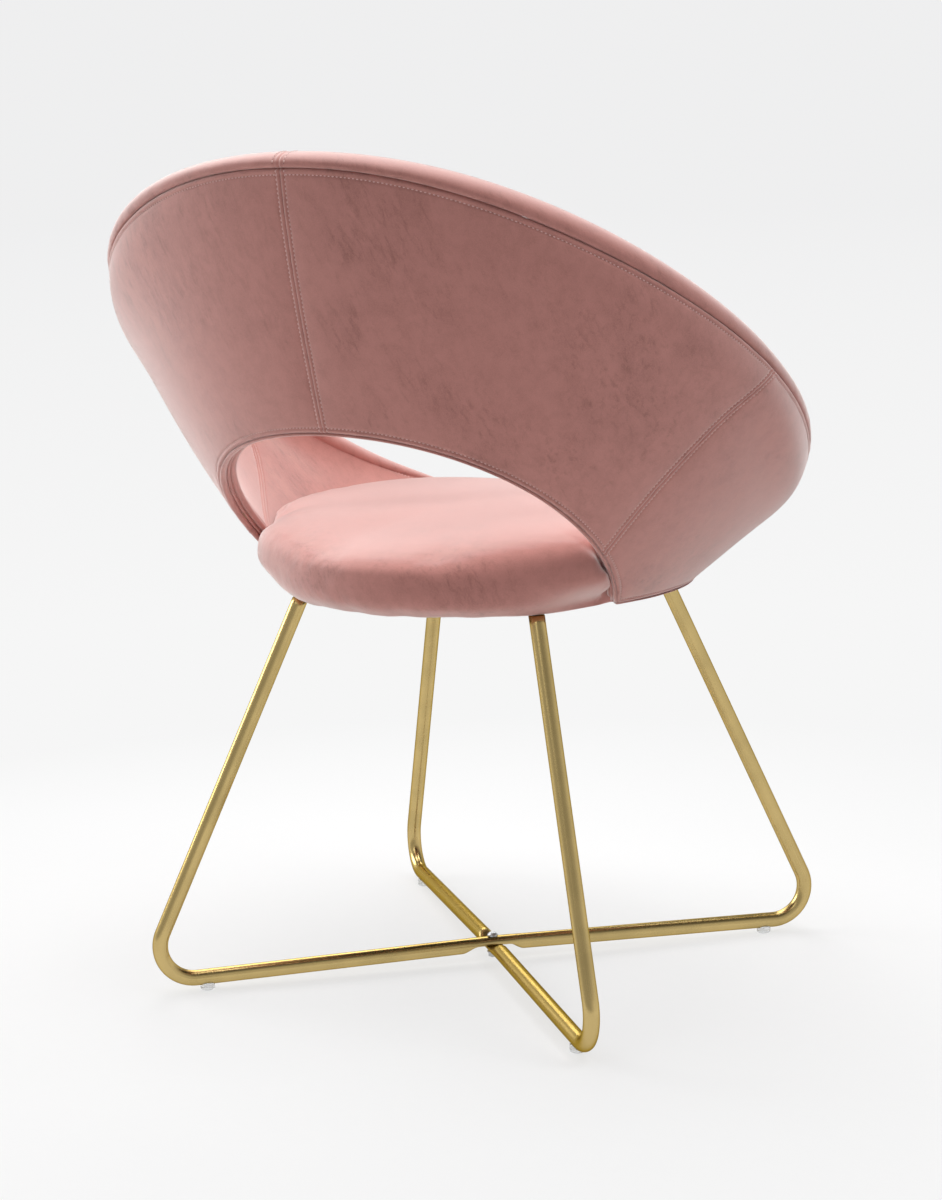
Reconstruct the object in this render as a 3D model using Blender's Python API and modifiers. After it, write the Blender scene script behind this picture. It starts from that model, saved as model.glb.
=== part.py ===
"""Open-backed velvet accent chair on two crossed bent tubes, one object for each piece.

Metres, +Z up. The sitter faces -Y and the sitter's left is +X. Everything is placed from the
point on the floor under the tube crossing, and hangs on one empty that sets mid depth at Y = 0.
"""

import math

import bmesh
import bpy
import numpy as np

GAP = 0.0003

# Leg frames: two bent steel tubes, each in an upright plane on a diagonal of the seat
TUBE_RADIUS = 0.008
TUBE_WALL = 0.0015
TUBE_SIDES = 12
FOOT_REACH = 0.374
LEG_LEAN = 0.46
BEND_RADIUS = 0.036
BAR_FOOT_Z = 0.012
CROSSING_Z = 0.018
PRESS_FLAT = 0.014
PRESS_END = 0.034
BOLT_RADIUS = 0.003
HOLE_RADIUS = 0.0034

# Feet and leg plates
GLIDE_REACH = 0.306
GLIDE_RADIUS = 0.0075
GLIDE_HEIGHT = 0.0075
PLATE_THICKNESS = 0.003
PLATE_ENDS = (0.108, 0.194)
PLATE_HALF_WIDTH = 0.013
PLATE_CORNER = 0.0115
PLATE_HOLES = (0.126, 0.158)
TEE_NUT_HOLE = 0.0049

# Seat: a pad on a plywood board, a superellipse in plan and in section
SEAT_CENTRE_Y = -0.02
SEAT_HALF_WIDTH = 0.240
SEAT_BACK = 0.251
SEAT_FRONT = 0.26
SEAT_BACK_POWER = 2.0
SEAT_FRONT_POWER = 2.4
SEAT_MID_Z = 0.445
SEAT_UNDER_Z = 0.4012
SEAT_CROWN_Z = 0.499
SEAT_UNDER_POWER = 6.0
SEAT_CROWN_POWER = 2.3
SEAT_SEGMENTS = 36
SEAT_COVER = 0.0015
PAD_CLEARANCE = 0.0066
FOAM_INSET = 0.006
GRIP_START = (math.radians(46), math.radians(60))
GRIP_EASE = 0.0025
SEAT_HEM_Z = 0.4054
SEAT_HEM_SHARE = 0.864
SEAT_HEM_INSET = 0.002
BOARD_Z = (0.4086, 0.4206)
BOARD_SHARE = 0.80
BOARD_INSET = 0.009
DUST_SHARE = 0.98
DUST_THICKNESS = 0.0006

# Shell: back and arms in one bowl, lofted from an oval at the seat to a larger, tilted rim
SHELL_FOOT_Z = 0.407
FOOT_HALF_WIDTH = 0.203
FOOT_CENTRE_Y = -0.032
FOOT_BACK = 0.261
FOOT_FRONT = 0.205
RIM_HALF_WIDTH = 0.348
RIM_CENTRE_Y = 0.045
RIM_BACK = 0.305
RIM_FRONT = 0.34
RIM_POWER = 2.13
RIM_HEIGHT = (0.611, 0.562, -0.094, 0.959)
FLARE_BACK = 1.334
FLARE_FRONT = 1.572
FLARE_TIP = 1.08
TIP_START = math.radians(108)
SHELL_END = math.radians(150)
SHELL_FOOT_THICKNESS = 0.016
SHELL_RIM_THICKNESS = 0.034
SHELL_TIP_THICKNESS = 0.018
ARM_TAPER = math.radians(95)

# Fullness of the flanks: under the rim beside the back, lower down along the arms
BELLY = 0.045
BELLY_START = (math.radians(20), math.radians(55))
BELLY_END = (math.radians(132), math.radians(150))
BELLY_DROP = (math.radians(85), math.radians(120))
BELLY_RISE = (0.90, 0.65)
BELLY_SPREAD = (0.13, 0.25)

# Crescent opening between the back and the seat, and the side seams that run up from its ends
OPENING_END = math.radians(68)
OPENING_HEIGHT = 0.185
OPENING_POWER = 0.8
ARM_FULL = math.radians(82)
FOOT_BLEND = 0.3
SEAM_FOOT = math.radians(59.5)
SEAM_RIM = math.radians(89.3)
SEAM_GAP = math.radians(0.08)
RIB_STEPS = (8, 3, 7)
ROW_STEPS = 5

# Layers of the shell, from the outside in
OUTER_COVER = 0.002
CORE_THICKNESS = 0.008
INNER_COVER = 0.0015
BINDING_THICKNESS = 0.0024
WELT_RADIUS = 0.0019
ROLL_STEPS = 8
ROLL_GROOVE = 0.0022
ROLL_HEIGHT = (0.68, 1.15)
ROLL_GROWTH = (math.radians(5), math.radians(60))
ROLL_TIP_STEPS = 5

# Screws through the shell into the edge of the seat board
SCREW_ANGLES = tuple(math.radians(a) for a in (-114, -96, -78, 78, 96, 114))
SCREW_Z = 0.4146
SCREW_RADIUS = 0.0016
SCREW_HEAD_RADIUS = 0.003
SCREW_SUNK = 0.0036
SCREW_LENGTH = 0.034

PLATE_TOP_Z = BOARD_Z[0] - DUST_THICKNESS - 3 * GAP
LEG_TOP_Z = PLATE_TOP_Z - PLATE_THICKNESS - 3.5 * GAP
DIAGONALS = {
    "back_left": math.radians(45),
    "back_right": math.radians(135),
    "front_right": math.radians(225),
    "front_left": math.radians(315),
}


def start_scene():
    """Clear the scene, then make the chair's collection, the cutters' collection and the root empty."""
    for old in list(bpy.data.objects):
        bpy.data.objects.remove(old)
    scene = bpy.context.scene.collection
    made = []
    for name in ("accent_chair", "cutters"):
        collection = bpy.data.collections.new(name)
        scene.children.link(collection)
        made.append(collection)
    root = bpy.data.objects.new("chair_root", None)
    made[0].objects.link(root)
    return made[0], made[1], root


CHAIR, CUTTERS, ROOT = start_scene()


def finish(name, colour, roughness, metallic=0.0):
    """A plain Principled material."""
    made = bpy.data.materials.new(name)
    made.use_nodes = True
    shader = made.node_tree.nodes["Principled BSDF"]
    shader.inputs["Base Color"].default_value = (*colour, 1.0)
    shader.inputs["Roughness"].default_value = roughness
    shader.inputs["Metallic"].default_value = metallic
    return made


VELVET = finish("rose_velvet", (0.47, 0.22, 0.20), 0.9)
PIPING = finish("rose_piping", (0.40, 0.17, 0.16), 0.85)
GOLD = finish("gold_tube", (0.62, 0.42, 0.14), 0.3, 1.0)
ZINC = finish("zinc_steel", (0.62, 0.62, 0.60), 0.35, 1.0)
CLEAR = finish("clear_plastic", (0.85, 0.86, 0.86), 0.2)
PLYWOOD = finish("plywood", (0.60, 0.42, 0.24), 0.7)
FOAM = finish("foam", (0.85, 0.80, 0.62), 0.95)
DUST_CLOTH = finish("dust_cloth", (0.03, 0.03, 0.03), 0.95)


def place(name, data, material, turn=0.0, at=(0, 0, 0)):
    """Put mesh or curve data in the chair as a named piece, turned about the upright axis."""
    data.name = name
    data.materials.append(material)
    piece = bpy.data.objects.new(name, data)
    piece.parent = ROOT
    piece.location = at
    piece.rotation_euler.z = turn
    CHAIR.objects.link(piece)
    return piece


def smooth(piece, angle=40):
    """Shade a mesh piece smooth, with edges over the angle left sharp."""
    piece.data.shade_smooth()
    piece.data.set_sharp_from_angle(angle=math.radians(angle))
    return piece


def hide_cutter(cutter):
    """Keep a cutter out of the model."""
    cutter.parent = ROOT
    cutter.hide_render = True
    cutter.display_type = "WIRE"


def cut(piece, cutter):
    """Cut a piece with one cutter object, or with every cutter of a collection."""
    modifier = piece.modifiers.new("cut", "BOOLEAN")
    modifier.operation = "DIFFERENCE"
    modifier.solver = "EXACT"
    if isinstance(cutter, bpy.types.Collection):
        modifier.operand_type = "COLLECTION"
        modifier.collection = cutter
    else:
        modifier.object = cutter


def thicken(piece, thickness):
    """Give an open surface its wall, on the side away from its normals."""
    modifier = piece.modifiers.new("wall", "SOLIDIFY")
    modifier.thickness = thickness
    modifier.offset = -1
    modifier.use_even_offset = True


def mesh_of(points, faces):
    """A mesh of the given points and faces."""
    mesh = bpy.data.meshes.new("mesh")
    mesh.from_pydata(np.asarray(points).tolist(), [], faces)
    mesh.validate()
    return mesh


def strip_faces(rows, columns, closed_rows=False, closed_columns=False):
    """Triangles of a grid of points numbered row by row, with either direction closed on itself.

    Every grid is split along the same diagonals, so that a piece nests in its neighbour.
    """
    faces = []
    for i in range(rows if closed_rows else rows - 1):
        for j in range(columns if closed_columns else columns - 1):
            near, far = i * columns, (i + 1) % rows * columns
            beside = (j + 1) % columns
            faces.append((near + j, far + j, far + beside))
            faces.append((near + j, far + beside, near + beside))
    return faces


def face_outwards(mesh):
    """Turn every face of a closed mesh outwards."""
    work = bmesh.new()
    work.from_mesh(mesh)
    bmesh.ops.recalc_face_normals(work, faces=work.faces)
    work.to_mesh(mesh)
    work.free()
    return mesh


def swept(sections):
    """A closed mesh of like sections carried along a path, with its two ends capped."""
    count, sides = sections.shape[:2]
    faces = strip_faces(count, sides, closed_columns=True)
    last = (count - 1) * sides
    faces += [tuple(range(sides)), tuple(range(last, last + sides))]
    return face_outwards(mesh_of(sections.reshape(-1, 3), faces))


def turned(profile, steps, closed=False):
    """A mesh turned about Z from (radius, height) points that run down its outer side."""
    edges = [(i, i + 1) for i in range(len(profile) - 1)]
    if closed:
        edges.append((len(profile) - 1, 0))
    mesh = bpy.data.meshes.new("profile")
    mesh.from_pydata([(r, 0, z) for r, z in profile], edges, [])
    helper = bpy.data.objects.new("profile", mesh)
    CUTTERS.objects.link(helper)
    spin = helper.modifiers.new("spin", "SCREW")
    spin.steps = spin.render_steps = steps
    spin.use_merge_vertices = True
    spin.merge_threshold = 0.00001
    graph = bpy.context.evaluated_depsgraph_get()
    made = bpy.data.meshes.new_from_object(helper.evaluated_get(graph))
    bpy.data.objects.remove(helper)
    return made


def outline(*loops, thickness):
    """A flat plate: the first loop of (x, y) points filled, less the loops inside it."""
    curve = bpy.data.curves.new("outline", "CURVE")
    curve.dimensions = "2D"
    curve.fill_mode = "BOTH"
    curve.extrude = thickness / 2
    for loop in loops:
        spline = curve.splines.new("POLY")
        spline.points.add(len(loop) - 1)
        spline.use_cyclic_u = True
        for point, (x, y) in zip(spline.points, loop):
            point.co = (x, y, 0, 1)
    return curve


def circle(x, y, radius, steps=10):
    """Points of a round hole."""
    turns = [2 * math.pi * i / steps for i in range(steps)]
    return [(x + radius * math.cos(t), y + radius * math.sin(t)) for t in turns]


def cylinder(name, radius, depth, at, rotation, sides=12):
    """A cylinder cutter at a point in the chair's own frame."""
    mesh = bpy.data.meshes.new(name)
    work = bmesh.new()
    bmesh.ops.create_cone(
        work, cap_ends=True, segments=sides, radius1=radius, radius2=radius, depth=depth
    )
    work.to_mesh(mesh)
    work.free()
    cutter = bpy.data.objects.new(name, mesh)
    cutter.location = at
    cutter.rotation_euler = rotation
    CUTTERS.objects.link(cutter)
    hide_cutter(cutter)
    return cutter


def smoothstep(value, start, end):
    """0 before start, 1 after end, eased between them."""
    t = np.clip((value - start) / (end - start), 0, 1)
    return t * t * (3 - 2 * t)


def signed_power(value, power):
    """A power that keeps the sign, for superellipses."""
    return np.sign(value) * np.abs(value) ** power


def bar_z(x):
    """Height of a bar's centre line at a distance along the diagonal: it rises to the crossing."""
    return CROSSING_Z - (CROSSING_Z - BAR_FOOT_Z) * abs(x) / FOOT_REACH


def leg_path():
    """Centre line of one leg frame in its own plane, as (x, z) points from leg top to leg top."""
    leg = np.array([-LEG_LEAN, 1.0]) / math.hypot(LEG_LEAN, 1.0)
    bar = np.array([-FOOT_REACH, CROSSING_Z - BAR_FOOT_Z])
    bar /= np.linalg.norm(bar)
    corner = np.array([FOOT_REACH, BAR_FOOT_Z])
    half_angle = math.acos(leg @ bar) / 2
    middle = leg + bar
    middle /= np.linalg.norm(middle)
    centre = corner + middle * BEND_RADIUS / math.sin(half_angle)
    run = BEND_RADIUS / math.tan(half_angle)
    first, last = corner + leg * run - centre, corner + bar * run - centre
    start = math.atan2(first[1], first[0])
    turn = (math.atan2(last[1], last[0]) - start) % (-2 * math.pi)
    bends = [start + turn * i / 8 for i in range(9)]
    rise = (LEG_TOP_Z - BAR_FOOT_Z) / leg[1]
    half = [corner + leg * rise]
    half += [centre + BEND_RADIUS * np.array([math.cos(a), math.sin(a)]) for a in bends]
    half += [np.array([x, bar_z(x)]) for x in np.linspace(PRESS_END, PRESS_FLAT, 5)]
    return half + [np.array([0.0, CROSSING_Z])] + [p * (-1, 1) for p in reversed(half)]


def press(mesh, side):
    """Press the tube flat to its middle at the crossing, on its under (-1) or upper (1) side."""
    for vertex in mesh.vertices:
        x, _, z = vertex.co
        depth = 1 - smoothstep(abs(x), PRESS_FLAT, PRESS_END)
        offset = (z - bar_z(x)) * side
        if depth > 0 and offset > -GAP and z < 2 * CROSSING_Z:
            vertex.co.z = bar_z(x) + side * (offset * (1 - depth) - 0.6 * GAP * depth)


def leg_frame(name, turn, side):
    """A hollow bent tube: a bevelled curve made a mesh, pressed at the crossing, cut level on top."""
    path = leg_path()
    curve = bpy.data.curves.new(name, "CURVE")
    curve.dimensions = "3D"
    curve.bevel_depth = TUBE_RADIUS
    curve.bevel_resolution = TUBE_SIDES // 2 - 2
    spline = curve.splines.new("POLY")
    spline.points.add(len(path) - 1)
    for point, (x, z) in zip(spline.points, path):
        point.co = (x, 0, z, 1)
    helper = bpy.data.objects.new(name + "_path", curve)
    CUTTERS.objects.link(helper)
    graph = bpy.context.evaluated_depsgraph_get()
    mesh = bpy.data.meshes.new_from_object(helper.evaluated_get(graph))
    bpy.data.objects.remove(helper)
    press(mesh, side)
    for vertex in mesh.vertices:
        if vertex.co.z > LEG_TOP_Z - 2 * TUBE_RADIUS:
            lift = LEG_TOP_Z - vertex.co.z
            vertex.co.x -= math.copysign(LEG_LEAN * lift, vertex.co.x)
            vertex.co.z = LEG_TOP_Z
    piece = smooth(place(name, mesh, GOLD, turn))
    thicken(piece, TUBE_WALL)
    cut(piece, CROSS_HOLE)
    return piece


CROSS_HOLE = cylinder("cross_hole", HOLE_RADIUS, 0.06, (0, 0, CROSSING_Z), (0, 0, 0))


def make_base():
    """Leg frames, the bolt that ties them, the glides and the plates under the seat."""
    leg_frame("leg_frame_upper", DIAGONALS["back_left"], -1)
    leg_frame("leg_frame_lower", DIAGONALS["back_right"], 1)
    top = CROSSING_Z + TUBE_RADIUS + GAP
    under = CROSSING_Z - TUBE_RADIUS - GAP
    head, tip = 0.0036, 0.0034
    bolt = [(0, top + head), (0.0036, top + head), (0.0055, top + head * 0.45), (0.0055, top)]
    bolt += [(BOLT_RADIUS, top), (BOLT_RADIUS, tip), (0, tip)]
    smooth(place("cross_bolt", turned(bolt, 12), ZINC))
    washer, nut, bore = 0.001, 0.0038, BOLT_RADIUS + GAP
    ring = [(bore, under), (0.0062, under), (0.0062, under - washer), (bore, under - washer)]
    smooth(place("cross_washer", turned(ring, 12, closed=True), ZINC))
    hexagon = outline(circle(0, 0, 0.0056, 6), circle(0, 0, bore + GAP, 12), thickness=nut)
    place("cross_nut", hexagon, ZINC, at=(0, 0, under - washer - GAP - nut / 2))
    for name, turn in DIAGONALS.items():
        make_glide(name, turn)
        make_plate(name, turn)


def make_glide(name, turn):
    """A clear saddle under a bar near its bend, flat on the floor and hollowed to the tube."""
    direction = np.array([math.cos(turn), math.sin(turn)])
    x, y = direction * GLIDE_REACH
    slope = math.atan((CROSSING_Z - BAR_FOOT_Z) / FOOT_REACH)
    saddle = cylinder(
        "saddle_" + name,
        TUBE_RADIUS + GAP,
        0.05,
        (x, y, bar_z(GLIDE_REACH)),
        (0, math.pi / 2 + slope, turn),
        sides=24,
    )
    edge = 0.001
    body = [(0, GLIDE_HEIGHT), (GLIDE_RADIUS, GLIDE_HEIGHT), (GLIDE_RADIUS, edge)]
    body += [(GLIDE_RADIUS - edge, 0), (0, 0)]
    glide = smooth(place("glide_" + name, turned(body, 16), CLEAR, at=(x, y, 0)))
    cut(glide, saddle)


def make_plate(name, turn):
    """A steel plate on top of a leg, with two bolts up into tee nuts in the seat board."""
    near, far = (PLATE_ENDS[0] + PLATE_CORNER, PLATE_ENDS[1] - PLATE_CORNER)
    side = PLATE_HALF_WIDTH - PLATE_CORNER
    corners = ((far, side, 0), (near, side, 90), (near, -side, 180), (far, -side, 270))
    loop = []
    for x, y, start in corners:
        for step in range(4):
            angle = math.radians(start + 30 * step)
            loop.append((x + PLATE_CORNER * math.cos(angle), y + PLATE_CORNER * math.sin(angle)))
    holes = [circle(x, 0, HOLE_RADIUS) for x in PLATE_HOLES]
    flat = outline(loop, *holes, thickness=PLATE_THICKNESS)
    place("leg_plate_" + name, flat, GOLD, turn, (0, 0, PLATE_TOP_Z - PLATE_THICKNESS / 2))
    under = PLATE_TOP_Z - PLATE_THICKNESS - GAP
    head, tip = 0.0038, BOARD_Z[1] + 0.0008
    bolt = [(0, tip), (BOLT_RADIUS, tip), (BOLT_RADIUS, under), (0.0058, under)]
    bolt += [(0.0058, under - head * 0.6), (0.004, under - head), (0, under - head)]
    flange, barrel, bore = 0.0012, 0.009, BOLT_RADIUS + GAP
    top = BOARD_Z[1] + GAP + flange
    nut = [(bore, top), (0.0085, top), (0.0085, top - flange), (0.0041, top - flange)]
    nut += [(0.0041, top - flange - barrel), (bore, top - flange - barrel)]
    for number, reach in enumerate(PLATE_HOLES, 1):
        at = (reach * math.cos(turn), reach * math.sin(turn), 0)
        smooth(place(f"plate_bolt_{name}_{number}", turned(bolt, 10), ZINC, at=at))
        smooth(place(f"tee_nut_{name}_{number}", turned(nut, 10, closed=True), ZINC, at=at))


def foot_curve(angle):
    """Plan of the shell's outer face at the seat. The angle runs from the back, 0, to +X."""
    c = np.cos(angle)
    depth = np.where(c > 0, FOOT_BACK, FOOT_FRONT)
    return FOOT_HALF_WIDTH * np.sin(angle), FOOT_CENTRE_Y + depth * c


def rim_curve(angle):
    """The shell's outer face at the rim seam: a superellipse in plan, whose height follows Y."""
    s = signed_power(np.sin(angle), 2 / RIM_POWER)
    c = signed_power(np.cos(angle), 2 / RIM_POWER)
    y = RIM_CENTRE_Y + np.where(c > 0, RIM_BACK, RIM_FRONT) * c
    height = sum(part * y**power for power, part in enumerate(RIM_HEIGHT))
    return RIM_HALF_WIDTH * s, y, height


def belly(size, rise):
    """Extra share of the lean at the full flanks: a bell over the rise, faded in and out by angle."""
    drop = smoothstep(size, *BELLY_DROP)
    peak = BELLY_RISE[0] + (BELLY_RISE[1] - BELLY_RISE[0]) * drop
    spread = BELLY_SPREAD[0] + (BELLY_SPREAD[1] - BELLY_SPREAD[0]) * drop
    shown = smoothstep(size, *BELLY_START) * (1 - smoothstep(size, *BELLY_END))
    foot = np.clip(rise / 0.1, 0, 1)
    return BELLY * shown * foot * np.exp(-(((rise - peak) / spread) ** 2))


def shell_face(angle, rise):
    """Outer face of the shell at an angle and a share of the rise from the seat to the rim.

    The plan moves from the foot curve to the rim curve by 1 - (1 - rise) ** flare, and a little
    further where the flanks are full.
    """
    foot_x, foot_y = foot_curve(angle)
    rim_x, rim_y, rim_z = rim_curve(angle)
    flare = FLARE_BACK + (FLARE_FRONT - FLARE_BACK) * (1 - np.cos(angle)) / 2
    flare += (FLARE_TIP - flare) * smoothstep(np.abs(angle), TIP_START, SHELL_END)
    move = 1 - (1 - np.clip(rise, 0, 1)) ** flare + belly(np.abs(angle), rise)
    x = foot_x + (rim_x - foot_x) * move
    y = foot_y + (rim_y - foot_y) * move
    z = SHELL_FOOT_Z + (rim_z - SHELL_FOOT_Z) * rise
    return np.stack(np.broadcast_arrays(x, y, z), -1)


def shell_normal(angle, rise):
    """Outward unit normal of the outer face."""
    step = 0.002
    rise = np.clip(rise, step, 1 - step)
    across = shell_face(angle + step, rise) - shell_face(angle - step, rise)
    up = shell_face(angle, rise + step) - shell_face(angle, rise - step)
    normal = np.cross(up, across)
    return normal / np.linalg.norm(normal, axis=-1, keepdims=True)


def shell_depth(angle, rise):
    """Thickness of the padded shell, which grows towards the rim and thins towards the arms' ends."""
    thin = smoothstep(np.abs(angle), ARM_TAPER, SHELL_END)
    rim = SHELL_RIM_THICKNESS + (SHELL_TIP_THICKNESS - SHELL_RIM_THICKNESS) * thin
    return SHELL_FOOT_THICKNESS + (rim - SHELL_FOOT_THICKNESS) * rise**1.5


def shell_at(angle, rise, depth):
    """A point in the shell, at a depth below its outer face.

    The depth runs square to the face, but level at the foot of the arms, which is cut level.
    """
    way = shell_normal(angle, rise)
    level = smoothstep(np.abs(angle), OPENING_END, ARM_FULL)
    level = level * (1 - smoothstep(rise, 0, FOOT_BLEND))
    way[..., 2] *= 1 - level
    way /= np.linalg.norm(way, axis=-1, keepdims=True)
    return shell_face(angle, rise) - way * np.asarray(depth)[..., None]


def lower_rise(angle):
    """Where the shell's lower edge lies: the arch of the opening at the back, the foot at the arms."""
    share = np.clip(1 - (angle / OPENING_END) ** 2, 0, None)
    rim_z = rim_curve(angle)[2]
    return OPENING_HEIGHT * share**OPENING_POWER / (rim_z - SHELL_FOOT_Z)


def rib_feet(start, end):
    """Angles of the ribs along the lower edge, between two angles, closer together by the opening's end."""
    marks = (0.0, SEAM_FOOT, OPENING_END, SHELL_END)
    half = [np.linspace(a, b, n, endpoint=False) for a, b, n in zip(marks, marks[1:], RIB_STEPS)]
    half = np.concatenate(half + [[SHELL_END]])
    whole = np.concatenate([-half[:0:-1], half])
    inside = whole[(whole > start + 0.01) & (whole < end - 0.01)]
    return np.concatenate([[start], inside, [end]])


def ribs(start=-SHELL_END, end=SHELL_END, rows=ROW_STEPS + 1):
    """Grid of (angle, rise): each rib leans from the lower edge to the rim as the side seam does."""
    foot = rib_feet(start, end)
    size = np.abs(foot)
    beyond = SEAM_RIM + (size - SEAM_FOOT) * (SHELL_END - SEAM_RIM) / (SHELL_END - SEAM_FOOT)
    top = np.sign(foot) * np.where(size < SEAM_FOOT, size * SEAM_RIM / SEAM_FOOT, beyond)
    share = np.linspace(0, 1, rows)
    angle = foot[:, None] + (top - foot)[:, None] * share
    low = lower_rise(foot)[:, None]
    return angle, low + (1 - low) * share


def slab(outer, inner):
    """A closed mesh between two like grids."""
    rows, columns = outer.shape[:2]
    count = rows * columns
    faces = strip_faces(rows, columns)
    faces += [tuple(count + index for index in face) for face in faces]
    number = np.arange(count).reshape(rows, columns)
    border = [*number[:-1, 0], *number[-1, :-1], *number[:0:-1, -1], *number[0, :0:-1]]
    border = [int(index) for index in border]
    faces += [(a, b, b + count, a + count) for a, b in zip(border, border[1:] + border[:1])]
    points = np.concatenate([outer.reshape(-1, 3), inner.reshape(-1, 3)])
    return face_outwards(mesh_of(points, faces))


def shell_layer(name, start_depth, end_depth, material, start=-SHELL_END, end=SHELL_END):
    """A layer of the shell between two depths, lofted from rib to rib."""
    angle, rise = ribs(start, end)
    outer = shell_at(angle, rise, start_depth(angle, rise))
    inner = shell_at(angle, rise, end_depth(angle, rise))
    return smooth(place(name, slab(outer, inner), material))


def edge_frame(angle, rise):
    """Points on an edge of the shell, the normal there, and the way out past the edge, all square."""
    points = shell_face(angle, rise)
    normal = shell_normal(angle, rise)
    along = np.gradient(points, axis=0)
    out = np.cross(along, normal)
    out /= np.linalg.norm(out, axis=-1, keepdims=True)
    return points, normal, out


def make_rim_roll():
    """The rolled edge: a half round on the shell's edge, up one arm's end, round and down the other."""
    rim = ribs()[0][:, -1]
    drop = np.linspace(1, 0, ROLL_TIP_STEPS + 1)
    ends = np.full_like(drop, SHELL_END)
    first = edge_frame(-ends, drop[::-1])[2]
    middle = edge_frame(rim, np.ones_like(rim))[2]
    last = edge_frame(ends, drop)[2]
    middle[0] = mitre(first[-1], middle[0])
    middle[-1] = mitre(middle[-1], last[0])
    out = np.concatenate([first[:-1], middle, last[1:]])[:, None]
    angle = np.concatenate([-ends[1:], rim, ends[1:]])
    rise = np.concatenate([drop[:0:-1], np.ones_like(rim), drop[1:]])
    depth = shell_depth(angle, rise)
    outer = shell_at(angle, rise, 0 * depth)[:, None]
    inner = shell_at(angle, rise, depth)[:, None]
    grown = smoothstep(np.abs(angle), *ROLL_GROWTH)
    tall = ROLL_HEIGHT[0] + (ROLL_HEIGHT[1] - ROLL_HEIGHT[0]) * grown
    turns = np.linspace(0, math.pi, ROLL_STEPS + 1)[:, None]
    share = (1 - np.cos(turns)) / 2
    height = ROLL_GROOVE + (depth * tall / 2)[:, None, None] * np.sin(turns)
    sections = outer + (inner - outer) * share + out * height
    return smooth(place("rim_roll", swept(sections), VELVET))


def mitre(first, second):
    """The way out at a corner, long enough to stay the same distance from both edges."""
    return (first + second) / (1 + first @ second)


def make_opening_trim():
    """The bound edge of the opening and the thin welt cord along the middle of it."""
    tail = math.radians(2.5)
    foot = rib_feet(-OPENING_END + tail, OPENING_END - tail)
    points, normal, up = edge_frame(foot, lower_rise(foot))
    width, deep = SHELL_FOOT_THICKNESS, BINDING_THICKNESS
    near = 2.5 * GAP
    corners = ((0, -near), (width, -near), (width - 0.002, -deep), (0.002, -deep))
    sections = np.stack([points - normal * d + up * h for d, h in corners], 1)
    place("opening_binding", swept(sections), VELVET)
    middle = points - normal * width / 2 - up * (deep + WELT_RADIUS + GAP)
    curve = bpy.data.curves.new("opening_welt", "CURVE")
    curve.dimensions = "3D"
    curve.bevel_depth = WELT_RADIUS
    curve.bevel_resolution = 1
    curve.use_fill_caps = True
    spline = curve.splines.new("POLY")
    spline.points.add(len(middle) - 1)
    for point, co in zip(spline.points, middle):
        point.co = (*co, 1)
    place("opening_welt", curve, PIPING)


def make_shell():
    """Core, foam, covers, rolled edge and trim of the back and arms."""
    core = OUTER_COVER + GAP
    foam = core + CORE_THICKNESS + GAP

    def even(depth):
        return lambda angle, rise: depth + 0 * rise

    def above_inside(height):
        return lambda angle, rise: shell_depth(angle, rise) - height

    for name, start, end in (
        ("back_left", SEAM_GAP, SEAM_FOOT - SEAM_GAP),
        ("back_right", -SEAM_FOOT + SEAM_GAP, -SEAM_GAP),
        ("arm_left", SEAM_FOOT + SEAM_GAP, SHELL_END),
        ("arm_right", -SHELL_END, -SEAM_FOOT - SEAM_GAP),
    ):
        shell_layer("outer_cover_" + name, even(0), even(OUTER_COVER), VELVET, start, end)
    pieces = [
        shell_layer("shell_core", even(core), even(core + CORE_THICKNESS), PLYWOOD),
        shell_layer("shell_foam", even(foam), above_inside(INNER_COVER + GAP), FOAM),
        shell_layer("inner_cover", above_inside(INNER_COVER), above_inside(0), VELVET),
    ]
    make_rim_roll()
    make_opening_trim()
    return pieces


def seat_plan(turn):
    """Plan radius of the pad about its centre, for an angle from the back, 0, to +X."""
    s, c = np.sin(turn), np.cos(turn)
    depth = np.where(c > 0, SEAT_BACK, SEAT_FRONT)
    power = np.where(c > 0, SEAT_BACK_POWER, SEAT_FRONT_POWER)
    return (np.abs(s / SEAT_HALF_WIDTH) ** power + np.abs(c / depth) ** power) ** (-1 / power)


def wall_radius(turn, z):
    """Distance from the pad's centre to the shell's inner face at a height, in a plan direction.

    The lesser of the face as modelled, rib by rib, and the face carried on down past the opening.
    """
    whole = np.meshgrid(np.linspace(0, math.pi, 91), np.linspace(0, 1, 81), indexing="ij")
    reach = []
    for angle, rise in (ribs(0), whole):
        face = shell_at(angle, rise, shell_depth(angle, rise))
        x = np.array([np.interp(z, rib[:, 2], rib[:, 0]) for rib in face])
        y = np.array([np.interp(z, rib[:, 2], rib[:, 1]) for rib in face]) - SEAT_CENTRE_Y
        way = np.arctan2(x, y)
        order = np.argsort(way)
        reach.append(np.interp(np.abs(turn), way[order], np.hypot(x, y)[order]))
    return np.minimum(*reach)


def pad_radius(turn, share, z, inset):
    """Radius of the pad: its own oval at the back, and within the bowl of the shell from the arms on.

    Where the oval and the bowl meet, the lesser of the two is eased into the other.
    """
    free = share * seat_plan(turn)
    wall = wall_radius(turn, z) - PAD_CLEARANCE
    held = -GRIP_EASE * np.logaddexp(-free / GRIP_EASE, -wall / GRIP_EASE)
    return free + (held - free) * smoothstep(np.abs(turn), *GRIP_START) - inset


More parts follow.
